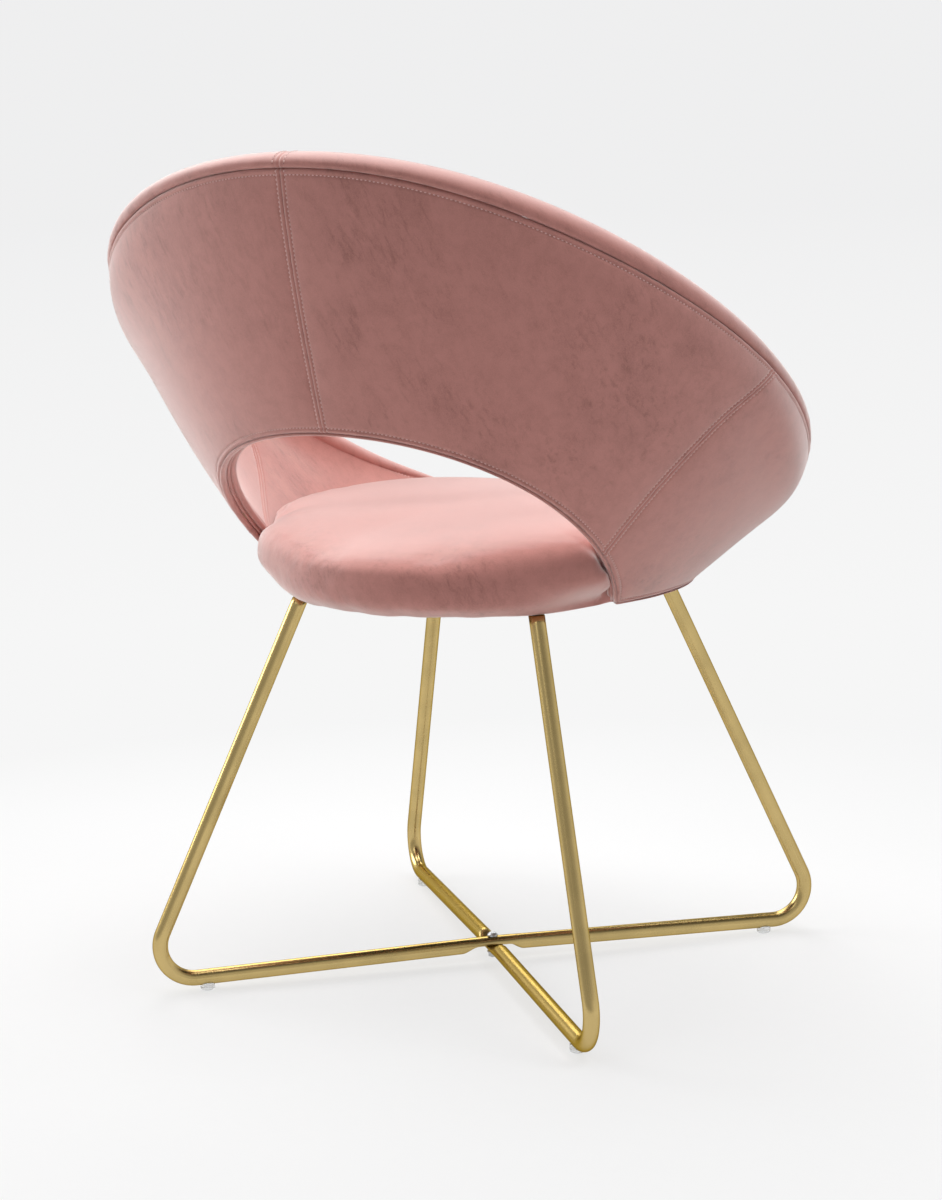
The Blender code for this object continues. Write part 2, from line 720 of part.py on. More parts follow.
def pad_rings(levels, inset):
    """Rings of points up the pad for levels from -90 degrees, under it, to 90, at its crown."""
    turn = np.linspace(-math.pi, math.pi, SEAT_SEGMENTS, endpoint=False)
    rings = []
    for level in levels:
        power = 2 / (SEAT_UNDER_POWER if level < 0 else SEAT_CROWN_POWER)
        share = math.cos(level) ** power
        end = (SEAT_UNDER_Z if level < 0 else SEAT_CROWN_Z) - SEAT_MID_Z
        lift = abs(math.sin(level)) ** power
        radius = np.maximum(pad_radius(turn, share, SEAT_MID_Z + lift * end, inset), 0)
        z = SEAT_MID_Z + lift * (end - math.copysign(inset, end))
        x = radius * np.sin(turn)
        y = SEAT_CENTRE_Y + radius * np.cos(turn)
        rings.append(np.stack([x, y, np.full_like(x, z)], -1))
    return np.array(rings)


def make_seat(holed):
    """Board, foam, fabric cover and dust cloth of the seat."""
    turn = np.linspace(-math.pi, math.pi, SEAT_SEGMENTS, endpoint=False)
    edge = pad_radius(turn, BOARD_SHARE, BOARD_Z[0], BOARD_INSET)

    def plan(share):
        return list(zip(share * edge * np.sin(turn), SEAT_CENTRE_Y + share * edge * np.cos(turn)))

    spots = [
        (reach * math.cos(way), reach * math.sin(way))
        for way in DIAGONALS.values()
        for reach in PLATE_HOLES
    ]
    thickness = BOARD_Z[1] - BOARD_Z[0]
    flat = outline(plan(1.0), *(circle(*at, TEE_NUT_HOLE, 8) for at in spots), thickness=thickness)
    helper = bpy.data.objects.new("board_outline", flat)
    CUTTERS.objects.link(helper)
    mesh = bpy.data.meshes.new_from_object(
        helper.evaluated_get(bpy.context.evaluated_depsgraph_get())
    )
    bpy.data.objects.remove(helper)
    work = bmesh.new()
    work.from_mesh(mesh)
    bmesh.ops.remove_doubles(work, verts=work.verts, dist=0.00001)
    work.to_mesh(mesh)
    work.free()
    holed.append(place("seat_board", mesh, PLYWOOD, at=(0, 0, sum(BOARD_Z) / 2)))

    cloth = outline(
        plan(DUST_SHARE),
        *(circle(*at, HOLE_RADIUS, 8) for at in spots),
        thickness=DUST_THICKNESS,
    )
    place("dust_cover", cloth, DUST_CLOTH, at=(0, 0, BOARD_Z[0] - GAP - DUST_THICKNESS / 2))

    levels = np.radians([-50, -40, -28, -14, 0, 14, 28, 42, 56, 70, 81])
    hem = pad_radius(turn, SEAT_HEM_SHARE, SEAT_HEM_Z, SEAT_HEM_INSET)
    hem = [hem * np.sin(turn), SEAT_CENTRE_Y + hem * np.cos(turn), SEAT_HEM_Z + 0 * turn]
    rings = np.concatenate([[np.stack(hem, -1)], pad_rings(levels, 0.0)])
    crown = (0, SEAT_CENTRE_Y, SEAT_CROWN_Z)
    points = np.concatenate([rings.reshape(-1, 3), [crown]])
    faces = strip_faces(len(rings), SEAT_SEGMENTS, closed_columns=True)
    last = (len(rings) - 1) * SEAT_SEGMENTS
    faces += [
        (last + i, len(points) - 1, last + (i + 1) % SEAT_SEGMENTS) for i in range(SEAT_SEGMENTS)
    ]
    cover = smooth(place("seat_cover", mesh_of(points, faces), VELVET))
    thicken(cover, SEAT_COVER)
    holed.append(cover)

    floor = BOARD_Z[1] + 0.0012 + 3 * GAP
    rings = pad_rings(levels[2:], FOAM_INSET)
    rings[:, :, 2] = np.maximum(rings[:, :, 2], floor)
    smooth(place("seat_foam", swept(rings), FOAM))


def make_screws(holed):
    """Screws through the foot of the shell into the edge of the seat board, and their holes."""
    holes = bpy.data.collections.new("screw_holes")
    CUTTERS.children.link(holes)
    seat = OUTER_COVER + 2 * GAP
    for number, angle in enumerate(SCREW_ANGLES, 1):
        rise = (SCREW_Z - SHELL_FOOT_Z) / (rim_curve(angle)[2] - SHELL_FOOT_Z)
        normal = shell_normal(np.array(angle), np.array(rise))
        heading = math.atan2(normal[1], normal[0])
        out = np.array([math.cos(heading), math.sin(heading), 0])
        head = shell_face(angle, rise) - normal * seat
        taper = 0.0016
        profile = [(0, 0), (SCREW_HEAD_RADIUS, -taper / 2), (SCREW_RADIUS, -2 * taper)]
        profile += [(SCREW_RADIUS, -SCREW_LENGTH * 0.85), (0, -SCREW_LENGTH)]
        screw = place(f"shell_screw_{number}", turned(profile, 8), ZINC, at=head - out * SCREW_SUNK)
        screw.rotation_euler = (0, math.pi / 2, heading)
        bore = [(0, 0.008), (SCREW_HEAD_RADIUS + GAP, 0.008), (SCREW_HEAD_RADIUS + GAP, -taper)]
        bore += [(SCREW_RADIUS + GAP, -3 * taper), (SCREW_RADIUS + GAP, -SCREW_LENGTH - 0.001)]
        bore += [(0, -SCREW_LENGTH - 0.001)]
        cutter = bpy.data.objects.new(f"screw_hole_{number}", turned(bore, 8))
        cutter.location = screw.location
        cutter.rotation_euler = screw.rotation_euler
        holes.objects.link(cutter)
        hide_cutter(cutter)
    for piece in holed:
        cut(piece, holes)


def set_mid_depth():
    """Slide the whole chair along Y, so that the middle of its depth stands over the origin."""
    graph = bpy.context.evaluated_depsgraph_get()
    ends = []
    for piece in CHAIR.objects:
        if piece.type == "EMPTY":
            continue
        shape = piece.evaluated_get(graph)
        ends += [(shape.matrix_world @ vertex.co).y for vertex in shape.to_mesh().vertices]
        shape.to_mesh_clear()
    ROOT.location.y = -(min(ends) + max(ends)) / 2


def main():
    make_base()
    holed = make_shell()
    make_seat(holed)
    make_screws(holed)
    set_mid_depth()


main()
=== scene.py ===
"""Open-backed velvet chair on crossed gold legs: the seen surfaces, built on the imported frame."""

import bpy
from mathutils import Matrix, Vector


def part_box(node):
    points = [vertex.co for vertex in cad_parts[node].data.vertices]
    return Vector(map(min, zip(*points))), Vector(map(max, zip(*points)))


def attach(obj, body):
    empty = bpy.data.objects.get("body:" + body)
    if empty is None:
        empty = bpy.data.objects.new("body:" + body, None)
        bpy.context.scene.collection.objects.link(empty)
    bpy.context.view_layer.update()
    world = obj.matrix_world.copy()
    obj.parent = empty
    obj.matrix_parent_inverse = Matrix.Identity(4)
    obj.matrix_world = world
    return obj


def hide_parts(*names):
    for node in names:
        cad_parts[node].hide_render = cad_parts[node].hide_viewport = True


bl_info = {
    "name": "Open-backed velvet chair",
    "version": (1, 0, 0),
    "blender": (4, 5, 0),
    "location": "3D View > Sidebar > Chair",
    "description": "Builds the velvet shell, its stitching, the cushion and the crossed legs",
    "category": "Add Mesh",
}

import bpy
import numpy as np
from bpy.props import FloatProperty, FloatVectorProperty, PointerProperty
from mathutils import Matrix, Vector

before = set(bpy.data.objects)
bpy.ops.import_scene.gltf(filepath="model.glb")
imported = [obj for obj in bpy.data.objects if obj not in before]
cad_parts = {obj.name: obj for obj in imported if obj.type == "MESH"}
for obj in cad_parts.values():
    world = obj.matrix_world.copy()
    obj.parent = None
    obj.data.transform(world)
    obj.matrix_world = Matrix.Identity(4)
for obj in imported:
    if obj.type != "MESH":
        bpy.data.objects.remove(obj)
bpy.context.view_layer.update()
CROSSING_Y = sum(corner.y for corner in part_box("cross_bolt")) / 2

# Shell: back and arms in one bowl. Angles run from the back, 0, to the sitter's left, and a pair of
# angles is where a change starts and ends
SHELL_FOOT_Z = 0.407
FOOT_HALF_WIDTH = 0.203
FOOT_CENTRE_Y = -0.032
FOOT_BACK = 0.261
FOOT_FRONT = 0.205
RIM_HALF_WIDTH = 0.348
RIM_CENTRE_Y = 0.045
RIM_BACK = 0.305
RIM_FRONT = 0.34
RIM_POWER = 2.13
RIM_HEIGHT = (0.611, 0.562, -0.094, 0.959)
FLARE_BACK = 1.334
FLARE_FRONT = 1.572
FLARE_TIP = 1.08
TIP_START = np.radians(108)
SHELL_END = np.radians(150)
SHELL_FOOT_THICKNESS = 0.016
SHELL_RIM_THICKNESS = 0.034
SHELL_TIP_THICKNESS = 0.018
ARM_TAPER = np.radians(95)
BELLY = 0.045
BELLY_FOOT = 0.1
BELLY_START = np.radians((20, 55))
BELLY_END = np.radians((132, 150))
BELLY_DROP = np.radians((85, 120))
BELLY_RISE = (0.90, 0.65)
BELLY_SPREAD = (0.13, 0.25)
OPENING_END = np.radians(68)
OPENING_HEIGHT = 0.185
OPENING_POWER = 0.8
ARM_FULL = np.radians(82)
FOOT_BLEND = 0.3
OUTER_SEAM = (np.radians(59.5), np.radians(89.3), 1.0)
LINING_SEAM = (np.radians(61), np.radians(94.3), 4.3)
OUTER_COVER = 0.002
LINING_BACK = 0.0106

# Roll round the rim, and the binding and the cord of the opening
ROLL_HEIGHT = (0.68, 1.15)
ROLL_GROWTH = np.radians((5, 60))
ROLL_GROOVE = 0.0022
ROLL_LIFT = 0.0003
ROLL_PACE = RIM_BACK * 1.02
ROLL_CLOSE = (0.012, 0.06)
ROLL_SWELL_RUN = 0.003
ROLL_WAVE = 0.00012
ROLL_WAVE_BAND = 0.004
ROLL_SEAM = (0.0012, 0.0011)
ROLL_DIMPLE = (0.0005, 0.0010)
TIP_ROUND = (np.radians(1.6), 0.2)
BINDING_BASE = 0.0013
BINDING_TALL = (0.0028, 0.0008)
BINDING_FADE = 0.12
BINDING_FOLD = 0.37
WELT_PLACE = 0.0018
WELT_RADIUS = 0.0014

# Seat: a superellipse in plan and in section, fuller between the arms
SEAT_CENTRE_Y = -0.02
SEAT_HALF_WIDTH = 0.240
SEAT_BACK = 0.251
SEAT_FRONT = 0.26
SEAT_BACK_POWER = 2.0
SEAT_FRONT_POWER = 2.4
SEAT_UNDER_Z = 0.4012
SEAT_FLAT_Z = 0.4016
SEAT_MID_Z = 0.445
SEAT_CROWN_Z = 0.4885
SEAT_UNDER_POWER = 6.0
SEAT_CROWN_POWER = 1.9
SEAT_ARM_POWER = 6.0
SEAT_EDGE_POWER = 2.6
SEAT_SPREAD = (0.027, 0.075)
SPREAD_START = np.radians((30, 50))
SPREAD_ARM = np.radians((58, 80))
SHOULDER_START = np.radians((12, 80))
SHOULDER_FALL = np.radians((112, 176))
PAD_RINGS = 45
PAD_SIDES = 120
PAD_TILT = np.radians(88)
PAD_INSET = 0.0025
PAD_VOXEL = 0.0052
HELD_HEIGHT = 0.006
SWELL_FRAMES = 20
PAD_LUMP = 0.0005
LUMP_HEIGHT = (0.44, 0.48)

# Bowl: how the lining holds the pad, and the lip of the pad that is drawn down under the board
PAD_CLEARANCE = 0.0066
PAD_START_GAP = 0.003
PAD_WALL_GAP = 0.0022
PAD_FILLING = 0.006
GRIP_START = np.radians((46, 60))
GRIP_LEAD = np.radians(4.5)
GRIP_DROP = (0.010, -0.002)
GRIP_EASE = 0.0025
ARM_ENDS = np.radians((150, 166))
WALL_TURNS = 120
WALL_HEIGHTS = 24
SEAT_LIP_Z = (0.4026, 0.4052)
SEAT_TUCK_Z = 0.432
LIP_TOP_Z = 0.415
LIP_RISE = np.radians((25, 62))
LIP_FALL = np.radians((140, 158))
LIP_HEIGHT = (0.410, 0.442)
LIP_PARTS = 40
SEAT_HEM_SHARE = 0.864
SEAT_HEM_INSET = 0.002
HEM_EASE = (-0.004, 0.003)

# Cushion's stitched line, and the board and the cloth under it
STITCH_START = np.radians((60, 66))
STITCH_Z = 0.482
STITCH_INSET = 0.014
STITCH_SHARE = (1.05, 0.88)
PAD_CREASE = (0.0016, 0.0035)
CREASE_HEIGHT = (0.455, 0.470)
BOARD_SHARE = 0.80
BOARD_INSET = 0.009
BOARD_CLEARANCE = 0.0012
DUST_SHARE = 0.98
DUST_SAG = 0.0008
DUST_PULL = 0.00010

# Leg frames: bent tubes in upright planes on the diagonals of the seat
TUBE_RADIUS = 0.008
FOOT_REACH = 0.374
LEG_LEAN = 0.46
BEND_RADIUS = 0.036
BAR_FOOT_Z = 0.012
CROSSING_Z = 0.018
PRESS_FLAT = 0.014
PRESS_END = 0.034
PRESS_GAP = 0.00018
PRESS_WIDEN = 0.10
LEG_TURNS = {"leg_frame_upper": (np.radians(45), -1), "leg_frame_lower": (np.radians(135), 1)}

# Camera: where the photographer stood, over the floor below the crossing
CAMERA_PLACE = Vector((-1.3674, 2.3524, 0.8530))
CAMERA_TARGET = Vector((0.0125, 0.0073, 0.3881))
CAMERA_ROLL = np.radians(-1.3595)
IMAGE_HEIGHT = 1200
FOCAL_PIXELS = 2657.3
SENSOR = 36

# Sewing: a stitched edge has a tuck, a dimple along its stitches and a swell between the two. A pair
# is a height and the width of its bell
STITCH_ROW = 8
SEAM_GAP = 0.0003
EDGE_RUN = 0.011
TUCK_WIDTH = 0.0013
STITCH_DIMPLE = (0.0006, 0.0011)
HEM_SWELL = 0.0005
RIPPLE = (0.0001, 0.006)
FULLNESS_RUN = 0.014
PANEL_WAVE = 0.00035
OUTER_TUCKS = (0.0003, 0.0003, 0.0009, 0.0020)
LINING_TUCKS = (0.0003, 0.0003, 0.0009, 0.0015)
THREAD_RINGS = np.array([-0.92, -0.55, 0.0, 0.55, 0.92])
THREAD_SIDES = 6
THREAD_DIP = 0.9

# Studio: what the camera and the metal see of the floor and the backdrop
NEAR_FLOOR = (0.922, 0.922, 0.922, 1)
BACKDROP = (0.862, 0.862, 0.866, 1)
DARK_ROOM = (0.11, 0.105, 0.10, 1)
SKY_LIGHT = (0.97, 0.985, 1.0, 1)
SKY_STRENGTH = 0.185
FLOOR_REACH = 80
FLOOR_THICKNESS = 0.02


def length(name, description, default):
    """A size property in metres."""
    return FloatProperty(name=name, description=description, default=default, unit="LENGTH")


def colour(name, description, default):
    """A colour property with red, green and blue in scene units."""
    return FloatVectorProperty(
        name=name, description=description, default=default, size=3, subtype="COLOR", min=0, max=1
    )


class ChairSizes(bpy.types.PropertyGroup):
    """Sizes of the sewing and the filling."""

    seam_offset: length("Seam stitch offset", "Distance of each stitch row from a seam", 0.0043)
    edge_offset: length("Edge stitch offset", "Distance of the stitch row from the opening", 0.005)
    rim_offset: length("Rim stitch offset", "Distance of the stitch row below the rim", 0.0060)
    stitch_pitch: length("Stitch pitch", "Distance from one stitch to the next", 0.0040)
    thread_width: length("Thread width", "Thickness of the sewing thread", 0.0013)
    pillow: length("Panel fullness", "How far a panel swells away from its seams", 0.0014)
    roll_swell: length("Roll swell", "How far the rolled rim stands out over the panels", 0.0030)
    cushion_swell: length("Cushion swell", "Most that the cushion may swell when filled", 0.005)


class ChairColours(bpy.types.PropertyGroup):
    """Colours of the finishes."""

    velvet: colour("Velvet", "Pile brushed up", (0.52, 0.228, 0.198))
    # Pressed velvet is a painted highlight: the paler colour that upward faces are blended to, for the
    # light and sheen that fall on them.
    pressed: colour("Pressed velvet", "Pile pressed flat where it faces up", (0.70, 0.45, 0.42))
    nap: colour("Velvet nap", "Pile brushed down", (0.29, 0.115, 0.096))
    thread: colour("Thread", "Sewing thread", (0.82, 0.56, 0.52))
    gold: colour("Gold", "Satin gold plating", (0.60, 0.45, 0.19))
    steel: colour("Zinc", "Zinc-plated fasteners", (0.56, 0.57, 0.58))
    plywood: colour("Plywood", "Raw plywood", (0.58, 0.40, 0.23))
    dust_cloth: colour("Dust cloth", "Non-woven cloth under the seat", (0.016, 0.016, 0.017))
    glide: colour("Glide", "Clear plastic glides", (0.90, 0.91, 0.91))
    floor: colour("Floor", "Studio floor", (0.88, 0.88, 0.88))


def smooth(value, start, end):
    """0 before start, 1 after end, 3t^2 - 2t^3 between them."""
    t = np.clip((value - start) / (end - start), 0, 1)
    return t * t * (3 - 2 * t)


def signed_power(value, power):
    """A power that keeps the sign, for superellipses."""
    return np.sign(value) * np.abs(value) ** power


def unit(vectors):
    """Vectors brought to length one along the last axis."""
    return vectors / np.maximum(np.linalg.norm(vectors, axis=-1, keepdims=True), 1e-12)


def mixed(pair, share):
    """From the first of a pair to the second by a share."""
    return pair[0] + (pair[1] - pair[0]) * share


def bell(value, width):
    """1 at 0, falling off as exp(-(value / width)^2)."""
    return np.exp(-((value / width) ** 2))


def run_length(points):
    """Length along a line of points, from its first one."""
    steps = np.linalg.norm(np.diff(points, axis=0), axis=1)
    return np.concatenate([[0], np.cumsum(steps)])


def rim_curve(angle):
    """The rim: a superellipse in plan, whose height is a cubic in Y."""
    s = signed_power(np.sin(angle), 2 / RIM_POWER)
    c = signed_power(np.cos(angle), 2 / RIM_POWER)
    y = RIM_CENTRE_Y + np.where(c > 0, RIM_BACK, RIM_FRONT) * c
    return RIM_HALF_WIDTH * s, y, np.polyval(RIM_HEIGHT[::-1], y)


def belly(size, rise):
    """Extra lean at the full flanks: a bell over the rise, faded in and out by angle."""
    drop = smooth(size, *BELLY_DROP)
    full = bell(rise - mixed(BELLY_RISE, drop), mixed(BELLY_SPREAD, drop))
    shown = smooth(size, *BELLY_START) * (1 - smooth(size, *BELLY_END))
    return BELLY * shown * np.clip(rise / BELLY_FOOT, 0, 1) * full


def shell_face(angle, rise):
    """Outer face: the plan goes from the foot oval to the rim by 1 - (1 - rise) ** flare."""
    c = np.cos(angle)
    foot_x = FOOT_HALF_WIDTH * np.sin(angle)
    foot_y = FOOT_CENTRE_Y + np.where(c > 0, FOOT_BACK, FOOT_FRONT) * c
    rim_x, rim_y, rim_z = rim_curve(angle)
    flare = mixed((FLARE_BACK, FLARE_FRONT), (1 - c) / 2)
    flare = flare + (FLARE_TIP - flare) * smooth(np.abs(angle), TIP_START, SHELL_END)
    move = 1 - (1 - np.clip(rise, 0, 1)) ** flare + belly(np.abs(angle), rise)
    x = foot_x + (rim_x - foot_x) * move
    y = foot_y + (rim_y - foot_y) * move
    z = SHELL_FOOT_Z + (rim_z - SHELL_FOOT_Z) * rise
    return np.stack(np.broadcast_arrays(x, y, z), -1)


def shell_way(angle, rise):
    """Outward unit normal of the outer face, turned level at the foot of the arms."""
    step = 0.002
    inside = np.clip(rise, step, 1 - step)
    across = shell_face(angle + step, inside) - shell_face(angle - step, inside)
    up = shell_face(angle, inside + step) - shell_face(angle, inside - step)
    way = unit(np.cross(up, across))
    level = smooth(np.abs(angle), OPENING_END, ARM_FULL) * (1 - smooth(rise, 0, FOOT_BLEND))
    way[..., 2] *= 1 - level
    return unit(way)


def shell_depth(angle, rise):
    """Thickness of the shell: it grows with rise ** 1.5 and thins towards the arms' ends."""
    thin = smooth(np.abs(angle), ARM_TAPER, SHELL_END)
    rim = mixed((SHELL_RIM_THICKNESS, SHELL_TIP_THICKNESS), thin)
    return SHELL_FOOT_THICKNESS + (rim - SHELL_FOOT_THICKNESS) * rise**1.5


def shell_at(angle, rise, depth):
    """A point of the shell at a depth below its outer face."""
    return shell_face(angle, rise) - shell_way(angle, rise) * np.asarray(depth)[..., None]


def shell_edge(angle, rise):
    """Both faces of the shell along an edge, a way square to it, and the thickness."""
    depth = shell_depth(angle, rise)
    outer = shell_at(angle, rise, 0 * depth)
    inner = shell_at(angle, rise, depth)
    along = np.gradient(outer, axis=0)
    return outer, inner, unit(np.cross(along, shell_way(angle, rise))), depth


def lower_rise(angle):
    """The lower edge: the arch of the opening at the back, the foot along the arms."""
    share = np.clip(1 - (angle / OPENING_END) ** 2, 0, None)
    return OPENING_HEIGHT * share**OPENING_POWER / (rim_curve(angle)[2] - SHELL_FOOT_Z)


def rib(foot, share, seam):
    """Angle and rise on a rib that leans from its foot angle to the rim as a side seam does.

    A seam is its foot angle, its rim angle and its power: 1 - (1 - share) ** power of the way.
    """
    start, end, power = seam
    slope = (SHELL_END - end) / (SHELL_END - start)
    size = np.abs(foot)
    top = np.where(size < start, size * end / start, end + (size - start) * slope)
    low = lower_rise(foot)
    lean = 1 - np.clip(1 - share, 0, None) ** power
    return foot + (np.sign(foot) * top - foot) * lean, low + (1 - low) * share


def edge_steps(mark):
    """Distances from an edge: closer to the edge up to the stitch line, then wider past it."""
    near = mark * np.linspace(0, 1, STITCH_ROW + 1) ** 1.25
    far = mark + EDGE_RUN * np.linspace(0, 1, STITCH_ROW + 1)[1:] ** 1.4
    return np.concatenate([near, far])


def fan(first, last, count):
    """Rows that start with the first block, end with the last block, and run evenly between."""
    share = np.linspace(0, 1, count + 2)[1:-1, None]
    return np.concatenate([first, first[-1] + (last[0] - first[-1]) * share, last])


def sewn_grid(start, end, marks, counts, seam):
    """A panel's grid between two foot angles whose outer rows keep set distances from its edges.

    Marks are the stitch distances at the start, end, lower and upper edge. A row near an edge is
    moved by its distance over the metres that one unit of its parameter covers square to the edge.
    Returns angle, rise and the four distances in metres.
    """
    step = 0.004
    share = np.linspace(0, 1, counts[1] + 4 * STITCH_ROW + 2)

    def metres(foot, part, along_foot):
        foot, part = np.broadcast_arrays(foot, part)
        turn = np.where(foot > (start + end) / 2, -step, step)
        lean = np.where(part > 0.5, -step, step)
        here = shell_face(*rib(foot, part, seam))
        side = shell_face(*rib(foot + turn, part, seam)) - here
        up = shell_face(*rib(foot, part + lean, seam)) - here
        if along_foot:
            return np.linalg.norm(np.cross(side, unit(up)), axis=-1) / step
        return np.linalg.norm(np.cross(up, unit(side)), axis=-1) / step

    at_start = metres(start, share, True)
    at_end = metres(end, share, True)
    first = start + edge_steps(marks[0])[:, None] / at_start
    last = end - edge_steps(marks[1])[::-1, None] / at_end
    foot = fan(first, last, counts[0])
    at_low = metres(foot[:, 0], 0.0, False)
    at_top = metres(foot[:, -1], 1.0, False)
    low = edge_steps(marks[2])[:, None] / at_low
    top = 1 - edge_steps(marks[3])[::-1, None] / at_top
    height = fan(low, top, counts[1]).T
    angle, rise = rib(foot, height, seam)
    distances = (
        (foot - start) * at_start,
        (end - foot) * at_end,
        height * at_low[:, None],
        (1 - height) * at_top[:, None],
    )
    return angle, rise, distances


def sewn_relief(distances, marks, tucks, fullness, points):
    """Height of a sewn panel: tucked at its edges, dimpled along its stitches, full between.

    Each edge takes off a tuck and a dimple along its stitches, both bells over the distance, and
    adds half a sine wave between the two. The fullness is the product over the edges of
    1 - exp(-past / run). Short ripples run along the stitches, long waves over the whole panel.
    """
    x, y, z = np.moveaxis(points, -1, 0)
    ripple = np.sin(410 * z + 90 * x) + np.sin(330 * x - 260 * y + 170 * z)
    broad = np.sin(23 * x + 17 * z + 1.0) * np.sin(19 * y - 13 * z) + np.sin(31 * z + 11 * x)
    relief = 0.0
    full = 1.0
    for distance, mark, tuck in zip(distances, marks, tucks):
        past = distance - mark
        relief = relief - tuck * bell(distance, TUCK_WIDTH)
        relief = relief - STITCH_DIMPLE[0] * bell(past, STITCH_DIMPLE[1])
        relief = relief + HEM_SWELL * np.sin(np.pi * np.clip(distance / mark, 0, 1))
        relief = relief + RIPPLE[0] * ripple * bell(past, RIPPLE[1])
        full = full * (1 - np.exp(-np.maximum(past, 0) / FULLNESS_RUN))
    return relief + full * (fullness + PANEL_WAVE * broad)


def grid_faces(rows, columns, around=False):
    """Quads between the neighbours of a grid; around joins the last column to the first."""
    row, column = np.mgrid[0 : rows - 1, 0 : columns if around else columns - 1]
    after = (column + 1) % columns
    corners = [row * columns + column, row * columns + after]
    corners += [(row + 1) * columns + after, (row + 1) * columns + column]
    return np.stack(corners, -1).reshape(-1, 4)


def end_fans(rows, columns):
    """Triangles that close both ends of a ringed grid, about two poles that follow its points."""
    here = np.arange(columns)
    after = (here + 1) % columns
    count = rows * columns
    last = count - columns
    first = np.stack([np.full(columns, count), after, here], -1)
    final = np.stack([np.full(columns, count + 1), last + here, last + after], -1)
    return np.concatenate([first, final])


def put_object(name, data):
    """A new object in the scene, at the origin."""
    made = bpy.data.objects.new(name, data)
    bpy.context.scene.collection.objects.link(made)
    return made


def put_mesh(name, points, quads, triangles=None, uv=None):
    """A mesh object from whole arrays, with its faces turned so that its volume is positive."""
    points = np.asarray(points, float).reshape(-1, 3) + (0, CROSSING_Y, 0)
    if triangles is None:
        triangles = np.zeros((0, 3), int)
    split = np.concatenate([quads[:, [0, 1, 2]], quads[:, [0, 2, 3]], triangles])
    middle = points.mean(0)
    a, b, c = (points[split[:, i]] - middle for i in range(3))
    if np.sum(a * np.cross(b, c)) < 0:
        quads, triangles = quads[:, ::-1], triangles[:, ::-1]
        uv = None if uv is None else uv[:, ::-1]
    mesh = bpy.data.meshes.new(name)
    mesh.vertices.add(len(points))
    mesh.vertices.foreach_set("co", points.ravel())
    corners = np.concatenate([quads.ravel(), triangles.ravel()]).astype(np.int32)
    mesh.loops.add(len(corners))
    mesh.loops.foreach_set("vertex_index", corners)
    mesh.polygons.add(len(quads) + len(triangles))
    sizes = np.repeat([4, 3], [len(quads), len(triangles)])
    starts = np.concatenate([[0], np.cumsum(sizes)[:-1]]).astype(np.int32)
    mesh.polygons.foreach_set("loop_start", starts)
    if uv is not None:
        layer = mesh.uv_layers.new(name="UVMap")
        flat = np.concatenate([uv.reshape(-1, 2), np.zeros((3 * len(triangles), 2))])
        layer.data.foreach_set("uv", flat.ravel())
    mesh.update(calc_edges=True)
    mesh.validate()
    mesh.shade_smooth()
    return put_object(name, mesh)


def put_slab(name, outer, inner):
    """A closed mesh between two like grids, with a wall along their shared border."""
    rows, columns = outer.shape[:2]
    count = rows * columns
    front = grid_faces(rows, columns)
    number = np.arange(count).reshape(rows, columns)
    border = [number[:-1, 0], number[-1, :-1], number[:0:-1, -1], number[0, :0:-1]]
    border = np.concatenate(border)
    after = np.roll(border, -1)
    wall = np.stack([border, after, after + count, border + count], -1)
    points = np.concatenate([outer.reshape(-1, 3), inner.reshape(-1, 3)])
    return put_mesh(name, points, np.concatenate([front, front[:, ::-1] + count, wall]))


def put_sweep(name, sections, uv_length=None):
    """A closed mesh from rings of points along a path, with a fan over each end."""
    rows, columns = sections.shape[:2]
    quads = grid_faces(rows, columns, around=True)
    points = np.concatenate([sections.reshape(-1, 3), [sections[0].mean(0), sections[-1].mean(0)]])
    uv = None
    if uv_length is not None:
        row, column = np.mgrid[0 : rows - 1, 0:columns]
        along = np.stack([uv_length[row], uv_length[row], uv_length[row + 1], uv_length[row + 1]], -1)
        round_it = np.stack([column, column + 1, column + 1, column], -1) / columns
        uv = np.stack([along, round_it], -1).reshape(-1, 4, 2)
    return put_mesh(name, points, quads, end_fans(rows, columns), uv)


def put_stitches(name, lines, pitch, width, reach=0.36, phase=0.5, sink=0.12):
    """Spindles of thread along lines of (points, normals), evenly by length, ends sunk in.

    A spindle is rings of points and two poles. Its radius follows the square root of 1 - x^2 along
    it, and it dips by x^2 times a share of the thread's width. Reach is its half length as a share
    of the pitch, phase its place within the pitch, sink its lift in widths.
    """
    rows = len(THREAD_RINGS)
    turn = np.arange(THREAD_SIDES) * 2 * np.pi / THREAD_SIDES
    radius = np.sqrt(1 - THREAD_RINGS**2)[:, None] * width / 2
    x = np.concatenate([np.repeat(THREAD_RINGS, THREAD_SIDES), [-1.0, 1.0]]) * pitch * reach
    y = np.concatenate([(radius * np.cos(turn)).ravel(), [0, 0]])
    z = np.concatenate([(radius * np.sin(turn)).ravel(), [0, 0]])
    z = z - width * (x / (pitch * reach)) ** 2 * THREAD_DIP + width * sink
    clouds = []
    for points, normals in lines:
        along_line = run_length(points)
        count = max(int(along_line[-1] / pitch), 1)
        at = (np.arange(count) + phase) * along_line[-1] / count
        tangent = np.gradient(points, along_line, axis=0)
        spread = [
            np.stack([np.interp(at, along_line, part[:, k]) for k in range(3)], -1)
            for part in (points, tangent, normals)
        ]
        centre, along, up = spread[0], unit(spread[1]), unit(spread[2])
        side = unit(np.cross(up, along))
        up = np.cross(along, side)
        cloud = along[:, None] * x[:, None] + side[:, None] * y[:, None] + up[:, None] * z[:, None]
        clouds.append(centre[:, None] + cloud)
    cloud = np.concatenate(clouds)
    first = (np.arange(len(cloud)) * len(x))[:, None, None]
    quads = grid_faces(rows, THREAD_SIDES, around=True)[None] + first
    triangles = end_fans(rows, THREAD_SIDES)[None] + first
    return put_mesh(name, cloud, quads.reshape(-1, 4), triangles.reshape(-1, 3))


